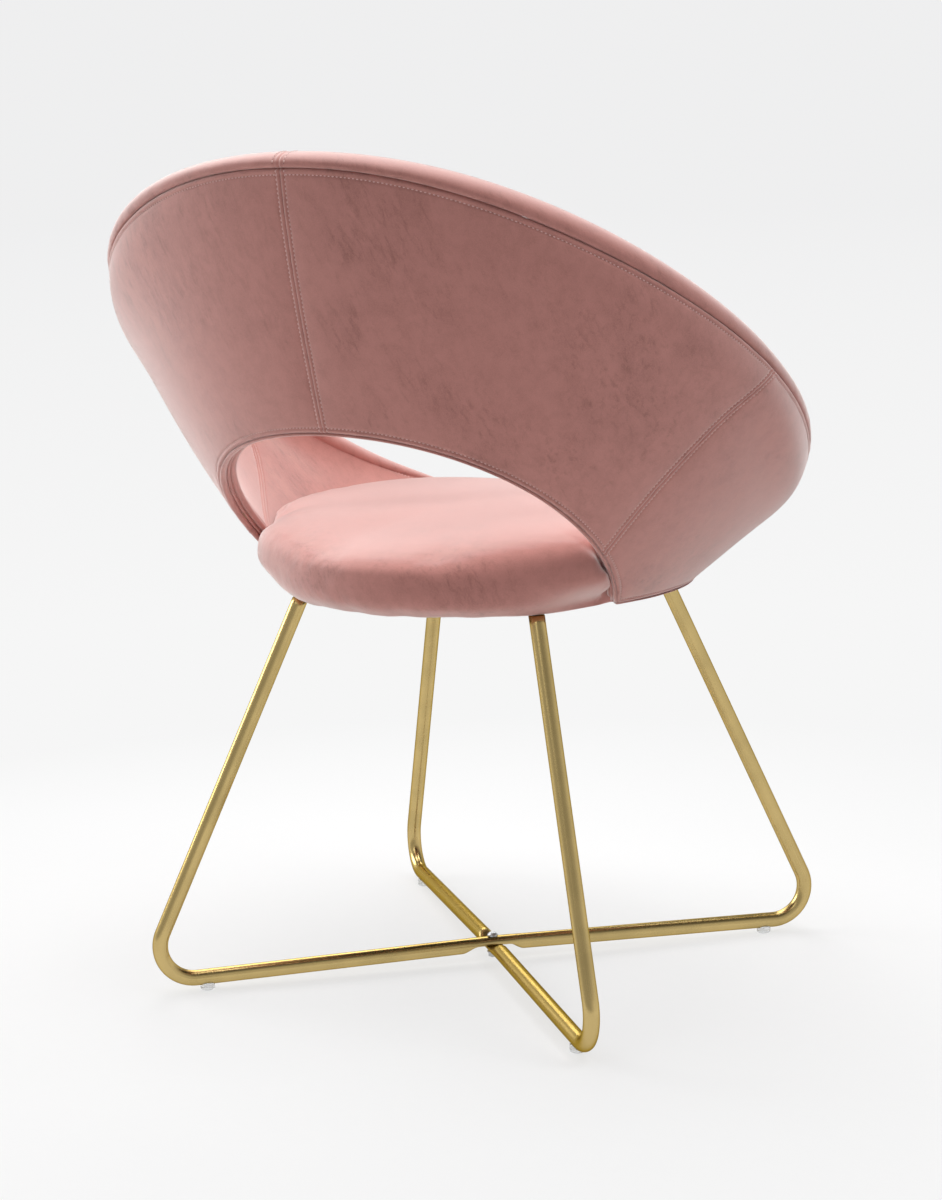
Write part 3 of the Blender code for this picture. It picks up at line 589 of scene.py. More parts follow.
def settle(piece, slot, material, *nodes):
    """Give a piece its material, ride it on the chair and hide the CAD nodes that it stands for; the
    slot is not used.
    """
    piece.data.materials.clear()
    piece.data.materials.append(material)
    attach(piece, "root")
    if nodes:
        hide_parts(*nodes)
    return piece


def new_material(name):
    """A material with an empty node tree."""
    material = bpy.data.materials.new(name)
    material.use_nodes = True
    material.node_tree.nodes.clear()
    return material, material.node_tree


def node(tree, kind, inputs, **settings):
    """A shader node with its settings and inputs, which are values or other nodes' outputs."""
    made = tree.nodes.new("ShaderNode" + kind)
    for key, value in settings.items():
        setattr(made, key, value)
    for key, value in inputs.items():
        if isinstance(value, bpy.types.NodeSocket):
            tree.links.new(value, made.inputs[key])
        else:
            made.inputs[key].default_value = value
    return made


def noise(tree, place, scale, detail=2.0, rough=0.5, twist=0.0):
    """Noise at a scale per metre."""
    inputs = {"Vector": place, "Scale": scale, "Detail": detail, "Roughness": rough}
    inputs["Distortion"] = twist
    return node(tree, "TexNoise", inputs).outputs[0]


def ranged(tree, value, low, high, to_low=0.0, to_high=1.0):
    """A value stretched from one range to another, held at its ends."""
    inputs = {"Value": value, 1: low, 2: high, 3: to_low, 4: to_high}
    return node(tree, "MapRange", inputs).outputs[0]


def blended(tree, share, first, second):
    """A colour between two by a share."""
    mix = node(tree, "Mix", {0: share, 6: first, 7: second}, data_type="RGBA")
    return mix.outputs[2]


def summed(tree, first, second, operation="ADD"):
    """Two values added, or joined by another sum."""
    return node(tree, "Math", {0: first, 1: second}, operation=operation).outputs[0]


def product(tree, first, second):
    """Two values multiplied."""
    return summed(tree, first, second, "MULTIPLY")


def bumped(tree, strength, distance, height):
    """A normal tilted by a height."""
    return node(tree, "Bump", {"Strength": strength, "Distance": distance, "Height": height}).outputs[0]


def rgba(value, gain=1.0):
    """A colour property as four numbers."""
    return (*(min(part * gain, 1.0) for part in value), 1.0)


def finish(recipe, colours):
    """The material named after a recipe, made once from the Principled inputs that the recipe gives."""
    material = bpy.data.materials.get(recipe.__name__)
    if material is None:
        material, tree = new_material(recipe.__name__)
        place = node(tree, "TexCoord", {}).outputs
        surface = node(tree, "BsdfPrincipled", recipe(tree, place, colours))
        node(tree, "OutputMaterial", {"Surface": surface.outputs[0]})
    return material


def brushed_velvet(tree, place, colours, painted_light_from=0.82):
    """Short-pile velvet: brushed patches, slanting strokes, mottles, flecks and a soft sheen.

    Where the cloth faces up, a painted highlight blends its colour paler, from a given share of up.
    """
    spot = place["Object"]
    turned = {"Vector": spot, "Rotation": (-0.212, 0.371, 0.0), "Scale": (1, 1, 3.0)}
    slant = node(tree, "Mapping", turned, vector_type="TEXTURE").outputs[0]
    hatch = noise(tree, slant, 170, 3, 0.65, 0.4)
    sweep = noise(tree, slant, 34, 3, 0.55, 0.4)
    mottle = noise(tree, spot, 70, 5, 0.7)
    fleck = noise(tree, spot, 900, 2, 0.6)
    patches = ranged(tree, noise(tree, spot, 8.5, 2, 0.5, 0.3), 0.42, 0.62)
    strokes = product(tree, ranged(tree, hatch, 0.50, 0.70), patches)
    broad = product(tree, ranged(tree, sweep, 0.42, 0.66), patches)
    lying = summed(tree, product(tree, strokes, 0.50), product(tree, broad, 0.34))
    lying = summed(tree, lying, ranged(tree, mottle, 0.42, 0.70, 0.0, 0.30))
    shade = blended(tree, lying, rgba(colours.velvet), rgba(colours.nap))
    flecks = ranged(tree, fleck, 0.3, 0.7, 0.0, 0.30)
    tone = blended(tree, flecks, shade, rgba(colours.velvet, 1.30))
    # Painted highlight: faces that point up are blended towards the pale pressed colour, for the light
    # and sheen that fall on them.
    way = node(tree, "NewGeometry", {}).outputs["Normal"]
    up = node(tree, "SeparateXYZ", {0: way}).outputs[2]
    level = ranged(tree, up, painted_light_from, 1.0, 0.0, 0.60)
    height = summed(tree, fleck, product(tree, hatch, 0.8))
    return {
        # Base colour with the painted highlight on upward faces
        "Base Color": blended(tree, level, tone, rgba(colours.pressed)),
        "Roughness": ranged(tree, lying, 0.0, 0.8, 0.92, 0.74),
        "Normal": bumped(tree, 0.30, 0.0006, height),
        "Specular IOR Level": 0.12,
        "Sheen Weight": 1.0,
        "Sheen Roughness": 0.48,
        "Sheen Tint": (1.0, 0.95, 0.93, 1.0),
    }


def rolled_velvet_painted_highlight(tree, place, colours):
    """The velvet drawn over the roll, with the painted highlight of upward faces reaching well down its
    sides.
    """
    return brushed_velvet(tree, place, colours, 0.25)


def sewing_thread(tree, place, colours):
    """Sewing thread: pale and slightly glossy, with a fine twist."""
    twist = noise(tree, place["Object"], 2400, 1)
    share = ranged(tree, twist, 0.3, 0.7)
    return {
        "Base Color": blended(tree, share, rgba(colours.thread, 0.8), rgba(colours.thread)),
        "Normal": bumped(tree, 0.4, 0.0002, twist),
        "Roughness": 0.6,
        "Sheen Weight": 0.3,
    }


def needle_hole_painted_shade(tree, place, colours):
    """Needle holes: painted shade, velvet as dark as it looks deep in a hole, with the pile closing over
    them.
    """
    pile = ranged(tree, noise(tree, place["Object"], 1600, 1), 0.3, 0.7)
    return {
        "Base Color": blended(tree, pile, rgba(colours.nap, 0.30), rgba(colours.nap, 0.65)),
        "Roughness": 0.95,
        "Specular IOR Level": 0.05,
    }


def satin_gold(tree, place, colours):
    """Satin gold plating: fine lines drawn along the tube, soft smudges, warm reflections."""
    drawn = node(tree, "Mapping", {"Vector": place["UV"], "Scale": (9, 130, 1)})
    lines = noise(tree, drawn.outputs[0], 1.0, 3, 0.6)
    smudge = noise(tree, place["Object"], 26, 3, 0.55)
    share = ranged(tree, smudge, 0.35, 0.7)
    rough = ranged(tree, lines, 0.2, 0.8, 0.17, 0.27)
    return {
        "Base Color": blended(tree, share, rgba(colours.gold), rgba(colours.gold, 0.86)),
        "Roughness": summed(tree, rough, ranged(tree, smudge, 0.3, 0.7, 0, 0.08)),
        "Normal": bumped(tree, 0.06, 0.0002, lines),
        "Metallic": 1.0,
        "Specular Tint": (0.42, 0.33, 0.16, 1.0),
    }


def zinc_plating(tree, place, colours):
    """Zinc plating: a cool bright metal with small cloudy crystals."""
    cells = node(tree, "TexVoronoi", {"Vector": place["Object"], "Scale": 900.0}).outputs[0]
    return {
        "Base Color": blended(tree, cells, rgba(colours.steel), rgba(colours.steel, 0.8)),
        "Roughness": ranged(tree, cells, 0, 1, 0.26, 0.42),
        "Metallic": 1.0,
    }


def raw_plywood(tree, place, colours):
    """Raw plywood: long grain with darker veins, and thin layers seen on its edge."""
    long = node(tree, "Mapping", {"Vector": place["Object"], "Scale": (4, 60, 60)})
    grain = noise(tree, long.outputs[0], 1.6, 4, 0.65, 0.6)
    wave = {"Vector": place["Object"], "Scale": 110.0, "Distortion": 1.2}
    layers = node(tree, "TexWave", wave, bands_direction="Z").outputs[1]
    share = ranged(tree, summed(tree, grain, product(tree, layers, 0.3)), 0.35, 1.0)
    return {
        "Base Color": blended(tree, share, rgba(colours.plywood), rgba(colours.plywood, 0.6)),
        "Normal": bumped(tree, 0.2, 0.0004, grain),
        "Roughness": 0.75,
    }


def black_nonwoven(tree, place, colours):
    """Non-woven cloth: near black, with pressed dots and loose fibres."""
    spots = {"Vector": place["Object"], "Scale": 420.0, "Randomness": 0.15}
    dots = node(tree, "TexVoronoi", spots).outputs[0]
    fibre = noise(tree, place["Object"], 1500, 3, 0.7, 1.5)
    share = ranged(tree, fibre, 0.4, 0.7)
    return {
        "Base Color": blended(tree, share, rgba(colours.dust_cloth), rgba(colours.dust_cloth, 2.4)),
        "Normal": bumped(tree, 0.5, 0.0003, summed(tree, dots, product(tree, fibre, 0.3))),
        "Roughness": 0.85,
    }


def milky_clear(tree, place, colours):
    """Clear soft plastic, a little milky, with faint flow marks."""
    flow = noise(tree, place["Object"], 160, 2, 0.5, 1.0)
    share = ranged(tree, flow, 0.3, 0.7)
    return {
        "Base Color": blended(tree, share, rgba(colours.glide), rgba(colours.glide, 0.94)),
        "Roughness": ranged(tree, flow, 0.3, 0.7, 0.14, 0.26),
        "Transmission Weight": 0.75,
        "IOR": 1.46,
    }


def edge_marks(sizes):
    """Stitch distances at the start, end, lower and upper edge of a panel."""
    return sizes.seam_offset, sizes.seam_offset, sizes.edge_offset, sizes.rim_offset


def panel_lines(outer, seams):
    """The stitched rows of a panel as (points, normals): its rim, its lower edge and its seams."""
    across = np.gradient(outer, axis=0)
    up = np.gradient(outer, axis=1)
    normals = unit(np.cross(up, across))
    rows = [np.s_[STITCH_ROW:-STITCH_ROW, -1 - STITCH_ROW], np.s_[STITCH_ROW:-STITCH_ROW, STITCH_ROW]]
    for at_start in seams:
        row = STITCH_ROW if at_start else -1 - STITCH_ROW
        rows.append(np.s_[row, 2:-2])
    return [(outer[row], normals[row]) for row in rows]


def sew(context, name, lines):
    """Thread along lines of (points, normals), with a dark spot of painted shade in the needle hole
    before each stitch.
    """
    sizes, colours = context.scene.chair_sizes, context.scene.chair_colours
    pitch, width = sizes.stitch_pitch, sizes.thread_width
    thread = put_stitches("stitches_" + name, lines, pitch, width)
    settle(thread, "rose_piping", finish(sewing_thread, colours))
    # Painted shade: dark spindles sunk in at each needle hole
    holes = put_stitches("holes_" + name, lines, pitch, width, reach=0.15, phase=0.0, sink=-0.25)
    settle(holes, "rose_piping", finish(needle_hole_painted_shade, colours))


class CHAIR_OT_outer_panels(bpy.types.Operator):
    """Four velvet panels over the outside of the back and arms, with their topstitching."""

    bl_idname = "chair.outer_panels"
    bl_label = "Outer panels"

    def execute(self, context):
        sizes, colours = context.scene.chair_sizes, context.scene.chair_colours
        fabric = finish(brushed_velvet, colours)
        marks = edge_marks(sizes)
        mid = OUTER_SEAM[0]
        spans = {
            "back": (SEAM_GAP, mid - SEAM_GAP, 60, 110),
            "arm": (mid + SEAM_GAP, SHELL_END, 80, 70),
        }
        for part, (start, end, across, up) in spans.items():
            angle, rise, distances = sewn_grid(start, end, marks, (across, up), OUTER_SEAM)
            seams = (True, False) if part == "back" else (True,)
            for side, word in ((1, "left"), (-1, "right")):
                face = shell_face(side * angle, rise)
                relief = sewn_relief(distances, marks, OUTER_TUCKS, sizes.pillow, face)
                outer = shell_at(side * angle, rise, -relief)
                inner = shell_at(side * angle, rise, np.full_like(rise, OUTER_COVER))
                name = f"{part}_{word}"
                piece = put_slab("panel_" + name, outer, inner)
                settle(piece, "rose_velvet", fabric, "outer_cover_" + name)
                lines = [(line, side * way) for line, way in panel_lines(outer, seams)]
                sew(context, name, lines)
        return {"FINISHED"}


class CHAIR_OT_lining(bpy.types.Operator):
    """Padded velvet lining of the back and arms in three panels, with its seams."""

    bl_idname = "chair.lining"
    bl_label = "Lining"

    def execute(self, context):
        sizes, colours = context.scene.chair_sizes, context.scene.chair_colours
        fabric = finish(brushed_velvet, colours)
        marks = edge_marks(sizes)
        mid = LINING_SEAM[0]
        spans = {
            "lining_back": (SEAM_GAP - mid, mid - SEAM_GAP, 150, 80, (True, False)),
            "lining_left": (mid + SEAM_GAP, SHELL_END, 60, 60, (True,)),
            "lining_right": (-SHELL_END, -mid - SEAM_GAP, 60, 60, (False,)),
        }
        for name, (start, end, across, up, seams) in spans.items():
            angle, rise, distances = sewn_grid(start, end, marks, (across, up), LINING_SEAM)
            depth = shell_depth(angle, rise)
            face = shell_at(angle, rise, depth)
            relief = sewn_relief(distances, marks, LINING_TUCKS, sizes.pillow, face)
            inner = shell_at(angle, rise, depth + relief)
            back = shell_at(angle, rise, np.full_like(rise, LINING_BACK))
            piece = put_slab(name, inner, back)
            settle(piece, "rose_velvet", fabric, "inner_cover", "shell_foam")
            lines = [(line, -way) for line, way in panel_lines(inner, seams)]
            sew(context, name, lines)
        return {"FINISHED"}


def roll_path(offset):
    """Angle and rise along the rolled edge: up one arm's end, round the rim and down the other.

    The corner between end and rim is a quarter of an ellipse in angle and rise. Rows are set at
    the stitch offset on both sides of the centre seam.
    """
    past_seam = np.linspace(offset + ROLL_CLOSE[0], ROLL_CLOSE[1], 12)
    close = np.concatenate([edge_steps(offset), past_seam]) / ROLL_PACE
    rest = np.linspace(ROLL_CLOSE[1] / ROLL_PACE, SHELL_END - TIP_ROUND[0], 190)[1:]
    bend = np.linspace(0, np.pi / 2, 12)[1:]
    corner_angle = SHELL_END - TIP_ROUND[0] * (1 - np.sin(bend))
    corner_rise = 1 - TIP_ROUND[1] * (1 - np.cos(bend))
    fall = np.linspace(1 - TIP_ROUND[1], 0, 22)[1:]
    half = np.concatenate([close, rest, corner_angle, np.full_like(fall, SHELL_END)])
    rise = np.concatenate([np.ones(len(close) + len(rest)), corner_rise, fall])
    return np.concatenate([-half[:0:-1], half]), np.concatenate([rise[:0:-1], rise])


class CHAIR_OT_rolled_rim(bpy.types.Operator):
    """The padded roll round the rim, with the seam across the middle of the back."""

    bl_idname = "chair.rolled_rim"
    bl_label = "Rolled rim"

    def execute(self, context):
        sizes, colours = context.scene.chair_sizes, context.scene.chair_colours
        angle, rise = roll_path(sizes.seam_offset)
        outer, inner, out, depth = shell_edge(angle, rise)
        along = run_length(outer)
        along -= along[len(along) // 2]
        turn = np.linspace(0, np.pi, 41)
        grown = smooth(np.abs(angle), *ROLL_GROWTH)
        tall = (depth / 2 * mixed(ROLL_HEIGHT, grown) + ROLL_GROOVE)[:, None]
        waves = np.sin(260 * along) + np.sin(171 * along + 1.3) + 0.8 * np.sin(97 * along)
        flat = np.abs(np.sin(turn)) ** 0.86
        height = tall * flat
        swell = sizes.roll_swell * (1 - np.exp(-height / ROLL_SWELL_RUN))
        swell = swell + ROLL_WAVE * waves[:, None] * bell(height - ROLL_WAVE_BAND, ROLL_WAVE_BAND)
        groove = ROLL_SEAM[0] * bell(along, ROLL_SEAM[1])
        groove += ROLL_DIMPLE[0] * bell(np.abs(along) - sizes.seam_offset, ROLL_DIMPLE[1])
        round_it = -signed_power(np.cos(turn), 0.9)
        half = depth[:, None] / 2 + swell - groove[:, None]
        across = unit(inner - outer)[:, None]
        middle = (outer + inner)[:, None] / 2
        lift = (height - groove[:, None] * flat + ROLL_LIFT)[..., None]
        top = middle + across * (round_it * half)[..., None] + out[:, None] * lift
        share = np.linspace(1, -1, 9)[1:-1, None]
        base = middle + across * share * half[:, :1, None] + out[:, None] * ROLL_LIFT
        piece = put_sweep("rolled_rim", np.concatenate([top, base], 1))
        # Painted highlight: the roll's velvet is paled from a low share of up, far down its sides
        roll_painted_highlight = finish(rolled_velvet_painted_highlight, colours)
        settle(piece, "rose_velvet", roll_painted_highlight, "rim_roll")
        ways = unit(across * (round_it * tall)[..., None] + out[:, None] * (flat * half)[..., None])
        centre = len(along) // 2
        rows = [centre - STITCH_ROW, centre + STITCH_ROW]
        lines = [(top[row, 3:-3], ways[row, 3:-3]) for row in rows]
        sew(context, "roll", lines)
        return {"FINISHED"}


class CHAIR_OT_opening_edge(bpy.types.Operator):
    """The bound edge of the opening: two folded lips with a thin cord between them."""

    bl_idname = "chair.opening_edge"
    bl_label = "Opening edge"

    def execute(self, context):
        fabric = finish(brushed_velvet, context.scene.chair_colours)
        angle = np.linspace(-1, 1, 420) * (SHELL_END - np.radians(0.6))
        outer, inner, out, _ = shell_edge(angle, lower_rise(angle))
        out = -out
        place = np.linspace(0, 1, 41)
        lips = np.sin(np.pi * np.clip((0.5 - np.abs(place - 0.5)) / BINDING_FOLD, 0, 1)) ** 0.5
        tall = mixed(BINDING_TALL, smooth(np.abs(angle), OPENING_END - BINDING_FADE, OPENING_END))
        height = BINDING_BASE + tall[:, None] * lips
        run = outer[:, None] + (inner - outer)[:, None] * place[:, None]
        face = run + out[:, None] * height[..., None]
        back = run[:, ::-4] + out[:, None] * 0.0001
        piece = put_sweep("opening_lips", np.concatenate([face, back[:, 1:-1]], 1))
        settle(piece, "rose_velvet", fabric, "opening_binding")
        turn = np.linspace(0, 2 * np.pi, 17)[:-1, None]
        open_part = np.abs(angle) < OPENING_END + np.radians(0.5)
        middle = ((outer + inner) / 2 + out * WELT_PLACE)[open_part, None]
        cross, down = unit(inner - outer)[open_part, None], out[open_part, None]
        sections = middle + WELT_RADIUS * (cross * np.cos(turn) + down * np.sin(turn))
        cord = put_sweep("opening_cord", sections)
        settle(cord, "rose_piping", fabric, "opening_welt")
        return {"FINISHED"}


def seat_plan(turn):
    """Plan radius of the pad about its centre: a superellipse, fuller at the front."""
    s, c = np.sin(turn), np.cos(turn)
    depth = np.where(c > 0, SEAT_BACK, SEAT_FRONT)
    power = np.where(c > 0, SEAT_BACK_POWER, SEAT_FRONT_POWER)
    return (np.abs(s / SEAT_HALF_WIDTH) ** power + np.abs(c / depth) ** power) ** (-1 / power)


def wall_table(turn, height):
    """Plan distance from the pad's centre to the lining, on a grid of turns and heights.

    Every ring of the bowl at one rise is nearly level, so each height reads the rise on each rib.
    """
    angle = np.linspace(0, np.pi, 181)[:, None]
    rise = np.linspace(0, 1, 121)[None, :]
    face = shell_at(angle + 0 * rise, rise + 0 * angle, shell_depth(angle + 0 * rise, rise + 0 * angle))
    reach = np.empty((len(turn), len(height)))
    for index, z in enumerate(height):
        under = np.clip((face[..., 2] < z).sum(1) - 1, 0, face.shape[1] - 2)[:, None]
        low = np.take_along_axis(face, under[..., None], 1)[:, 0]
        high = np.take_along_axis(face, under[..., None] + 1, 1)[:, 0]
        share = np.clip((z - low[:, 2]) / np.maximum(high[:, 2] - low[:, 2], 1e-9), 0, 1)
        spot = low + (high - low) * share[:, None]
        x, y = spot[:, 0], spot[:, 1] - SEAT_CENTRE_Y
        way = np.arctan2(x, y)
        order = np.argsort(way)
        reach[:, index] = np.interp(np.abs(turn), way[order], np.hypot(x, y)[order])
    return reach


def grip(turn, z):
    """How far the bowl holds the pad at a turn and height: 0 well below its lower edge, then 1."""
    angle = np.minimum(np.abs(turn) + GRIP_LEAD, np.pi)
    edge = shell_face(angle, lower_rise(angle))[..., 2]
    return smooth(z, edge - GRIP_DROP[0], edge - GRIP_DROP[1])


def wall_at(turn, z):
    """Plan distance to the lining at any turns and heights, read between the points of a table."""
    turns = np.linspace(0, np.pi, WALL_TURNS)
    heights = np.linspace(SEAT_UNDER_Z, SEAT_CROWN_Z + 0.01, WALL_HEIGHTS)
    table = wall_table(turns, heights)
    across = np.abs(turn) / np.pi * (len(turns) - 1)
    up = np.clip((z - heights[0]) / (heights[1] - heights[0]), 0, len(heights) - 1.001)
    i = np.minimum(across.astype(int), len(turns) - 2)
    j = up.astype(int)
    a, b = across - i, up - j
    low = table[i, j] * (1 - a) + table[i + 1, j] * a
    high = table[i, j + 1] * (1 - a) + table[i + 1, j + 1] * a
    return low * (1 - b) + high * b


def pad_rings(levels, segments, inset):
    """Rings up the pad: cos(level) to a power across, sin(level) to a power up, held by the bowl.

    Between the arms the power grows, so that the pad keeps a full shoulder up to the lining.
    """
    turn = np.linspace(-np.pi, np.pi, segments, endpoint=False)
    size = np.abs(turn)
    fall = smooth(size, *SHOULDER_FALL)
    crown = mixed((SEAT_CROWN_POWER, SEAT_ARM_POWER), smooth(size, *SHOULDER_START))
    crown = mixed((crown, SEAT_EDGE_POWER), fall)
    level = levels[:, None]
    below = level < 0
    power = 2 / np.where(below, SEAT_UNDER_POWER, crown)
    share = np.cos(level) ** power
    end = np.where(below, SEAT_UNDER_Z, SEAT_CROWN_Z) - SEAT_MID_Z
    z = SEAT_MID_Z + np.abs(np.sin(level)) ** power * (end - np.sign(end) * inset)
    wide = smooth(size, *SPREAD_ARM)
    spread = SEAT_SPREAD[0] * smooth(size, *SPREAD_START) + SEAT_SPREAD[1] * wide
    spread = spread * (1 - fall)
    free = share * seat_plan(turn) * (1 + spread)
    wall = wall_at(turn + 0 * z, z) - PAD_START_GAP
    held = -GRIP_EASE * np.logaddexp(-free / GRIP_EASE, -wall / GRIP_EASE)
    radius = np.maximum(free + (held - free) * grip(turn, z) - inset * share, 0)
    x = radius * np.sin(turn)
    y = SEAT_CENTRE_Y + radius * np.cos(turn)
    return np.stack([x, y, np.maximum(z, SEAT_FLAT_Z + inset)], -1)


def pad_edge(turn, share, z, inset):
    """Plan radius of a share of the pad at one height, held by the bowl, less an inset."""
    free = share * seat_plan(turn)
    wall = wall_table(turn, np.array([z]))[:, 0] - PAD_CLEARANCE
    return free + (np.minimum(free, wall) - free) * smooth(np.abs(turn), *GRIP_START) - inset


def seat_polar(points):
    """Turn and plan radius of points about the pad's centre."""
    x, y = points[:, 0], points[:, 1] - CROSSING_Y - SEAT_CENTRE_Y
    return np.arctan2(x, y), np.hypot(x, y)


def mesh_points(mesh):
    """The points of a mesh as one array."""
    points = np.empty(3 * len(mesh.vertices))
    mesh.vertices.foreach_get("co", points)
    return points.reshape(-1, 3)


def baked(piece):
    """A new mesh from a piece with its modifiers worked out."""
    graph = bpy.context.evaluated_depsgraph_get()
    return bpy.data.meshes.new_from_object(piece.evaluated_get(graph))


def soften(piece, rounds):
    """Add a modifier that evens out a mesh by halves."""
    soft = piece.modifiers.new("soft", "SMOOTH")
    soft.factor = 0.5
    soft.iterations = rounds


def swell_cushion(piece, cap):
    """Remesh a pad evenly and blow it up as cloth, moving no point further than the cap."""
    remesh = piece.modifiers.new("even", "REMESH")
    remesh.mode = "VOXEL"
    remesh.voxel_size = PAD_VOXEL
    even = baked(piece)
    piece.modifiers.clear()
    piece.data = even
    before = mesh_points(even)
    group = piece.vertex_groups.new(name="held")
    held = np.flatnonzero(before[:, 2] < SEAT_FLAT_Z + HELD_HEIGHT)
    group.add(held.tolist(), 1.0, "REPLACE")
    cloth = piece.modifiers.new("swell", "CLOTH")
    cloth.settings.quality = 6
    cloth.settings.mass = 0.4
    cloth.settings.tension_stiffness = 20
    cloth.settings.compression_stiffness = 12
    cloth.settings.bending_stiffness = 1.5
    cloth.settings.use_pressure = True
    cloth.settings.uniform_pressure_force = 4.0
    cloth.settings.vertex_group_mass = "held"
    cloth.settings.effector_weights.gravity = 0
    cloth.point_cache.frame_end = SWELL_FRAMES
    for step in range(1, SWELL_FRAMES + 1):
        bpy.context.scene.frame_set(step)
    swollen = baked(piece)
    move = mesh_points(swollen) - before
    piece.modifiers.clear()
    piece.vertex_groups.clear()
    bpy.context.scene.frame_set(1)
    size = np.linalg.norm(move, axis=1, keepdims=True)
    before = before + move * np.minimum(1, cap * np.tanh(size / cap) / np.maximum(size, 1e-9))
    piece.data.vertices.foreach_set("co", before.ravel())
    soften(piece, 4)
    even = baked(piece)
    piece.modifiers.clear()
    return mesh_points(even)


def keep_in_bowl(points):
    """Pull points of the cushion inside the lining, and hollow its underside over the board.

    A small gap to the lining closes to gap^2 / (gap + filling), so that the cushion fills the bowl.
    Below the tuck height the sides are drawn down evenly, so that the lip ends under the board.
    Along the arms the lip is drawn in to the foot of the bowl and ends level with it.
    """
    turn, radius = seat_polar(points)
    limit = wall_at(turn, points[:, 2]) - PAD_WALL_GAP
    gap = np.maximum(limit - radius, 0)
    held = limit - gap * gap / (gap + PAD_FILLING)
    size = np.abs(turn)
    arm = smooth(size, *LIP_RISE) * (1 - smooth(size, *LIP_FALL))
    held_up = grip(turn, points[:, 2]) * (1 - smooth(size, *ARM_ENDS))
    hold = np.maximum(held_up, arm * (1 - smooth(points[:, 2], *LIP_HEIGHT)))
    radius = radius + (held - radius) * hold
    turns = np.linspace(0, np.pi, WALL_TURNS)
    hem = np.interp(size, turns, pad_edge(turns, SEAT_HEM_SHARE, SEAT_FLAT_Z, SEAT_HEM_INSET))
    foot = np.interp(size, turns, wall_table(turns, np.array([SHELL_FOOT_Z]))[:, 0])
    hem = mixed((hem, np.minimum(hem, foot - PAD_CLEARANCE - SEAT_HEM_INSET)), arm)
    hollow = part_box("seat_board")[1].z + BOARD_CLEARANCE
    part = np.clip((size / np.pi * LIP_PARTS).astype(int), 0, LIP_PARTS - 1)
    lowest = np.full(LIP_PARTS, SEAT_MID_Z)
    outside = radius > hem + HEM_EASE[1]
    np.minimum.at(lowest, part[outside], points[outside, 2])
    low = np.interp(size, (np.arange(LIP_PARTS) + 0.5) * np.pi / LIP_PARTS, lowest)
    pull = (SEAT_TUCK_Z - SEAT_LIP_Z[0]) / (SEAT_TUCK_Z - np.minimum(low, LIP_TOP_Z))
    drawn = SEAT_TUCK_Z + np.minimum(points[:, 2] - SEAT_TUCK_Z, 0) * pull
    drawn = np.where(points[:, 2] < SEAT_TUCK_Z, drawn, points[:, 2])
    floor = mixed((hollow, mixed(SEAT_LIP_Z, arm)), smooth(radius - hem, *HEM_EASE))
    moved = points.copy()
    moved[:, 0] = radius * np.sin(turn)
    moved[:, 1] = radius * np.cos(turn) + CROSSING_Y + SEAT_CENTRE_Y
    moved[:, 2] = np.maximum(drawn, floor)
    return moved


class CHAIR_OT_cushion(bpy.types.Operator):
    """The seat cushion, swollen as cloth inside the bowl, with a stitched line by the arms."""

    bl_idname = "chair.cushion"
    bl_label = "Seat cushion"

    def execute(self, context):
        sizes, colours = context.scene.chair_sizes, context.scene.chair_colours
        levels = np.linspace(-PAD_TILT, PAD_TILT, PAD_RINGS)
        piece = put_sweep("cushion_start", pad_rings(levels, PAD_SIDES, PAD_INSET))
        points = keep_in_bowl(swell_cushion(piece, sizes.cushion_swell))
        x, y, z = points.T
        lump = np.sin(21 * x + 9 * y) * np.sin(17 * y - 8 * x + 1) + np.sin(34 * x - 25 * y)
        points[:, 2] += PAD_LUMP * lump * smooth(z, *LUMP_HEIGHT)
        piece.data.vertices.foreach_set("co", points.ravel())
        piece.data.update()
        soften(piece, 2)
        finer = piece.modifiers.new("finer", "SUBSURF")
        finer.levels = finer.render_levels = 1
        mesh = baked(piece)
        bpy.data.objects.remove(piece)
        points = mesh_points(mesh)
        turn, radius = seat_polar(points)
        crease = bell(radius - self.line_radius(turn), PAD_CREASE[1])
        crease *= smooth(points[:, 2], *CREASE_HEIGHT)
        points[:, 2] -= PAD_CREASE[0] * crease * smooth(np.abs(turn), *STITCH_START)
        mesh.vertices.foreach_set("co", points.ravel())
        mesh.update()
        mesh.shade_smooth()
        cushion = put_object("cushion", mesh)
        settle(cushion, "rose_velvet", finish(brushed_velvet, colours), "seat_cover", "seat_foam")
        self.stitch(context, cushion)
        return {"FINISHED"}

    def line_radius(self, turn):
        """Plan radius of the stitched line: a little inside the lining, and well in at the front."""
        turns = np.linspace(0, np.pi, 181)
        share = mixed(STITCH_SHARE, smooth(turns, *SHOULDER_FALL))
        return np.interp(np.abs(turn), turns, pad_edge(turns, share, STITCH_Z, STITCH_INSET))

    def stitch(self, context, cushion):
        """Lay a stitched line on the cushion close to the arms, drawn to its nearest surface."""
        turn = np.linspace(STITCH_START[1], 2 * np.pi - STITCH_START[1], 420)
        turn = np.where(turn > np.pi, turn - 2 * np.pi, turn)
        radius = self.line_radius(turn)
        x, y = radius * np.sin(turn), SEAT_CENTRE_Y + radius * np.cos(turn) + CROSSING_Y
        line = np.stack([x, y, np.full_like(x, STITCH_Z)], -1)
        mesh = bpy.data.meshes.new("line")
        edges = np.stack([np.arange(len(line) - 1), np.arange(1, len(line))], -1)
        mesh.from_pydata(line.tolist(), edges.tolist(), [])
        helper = put_object("line", mesh)
        drop = helper.modifiers.new("drop", "SHRINKWRAP")
        drop.target = cushion
        laid = mesh_points(baked(helper)) - (0, CROSSING_Y, 0)
        bpy.data.objects.remove(helper)
        up = np.array((0.0, 0.0, 0.8)) + unit(laid * (1, 1, 0)) * 0.6
        sew(context, "cushion", [(laid, up)])


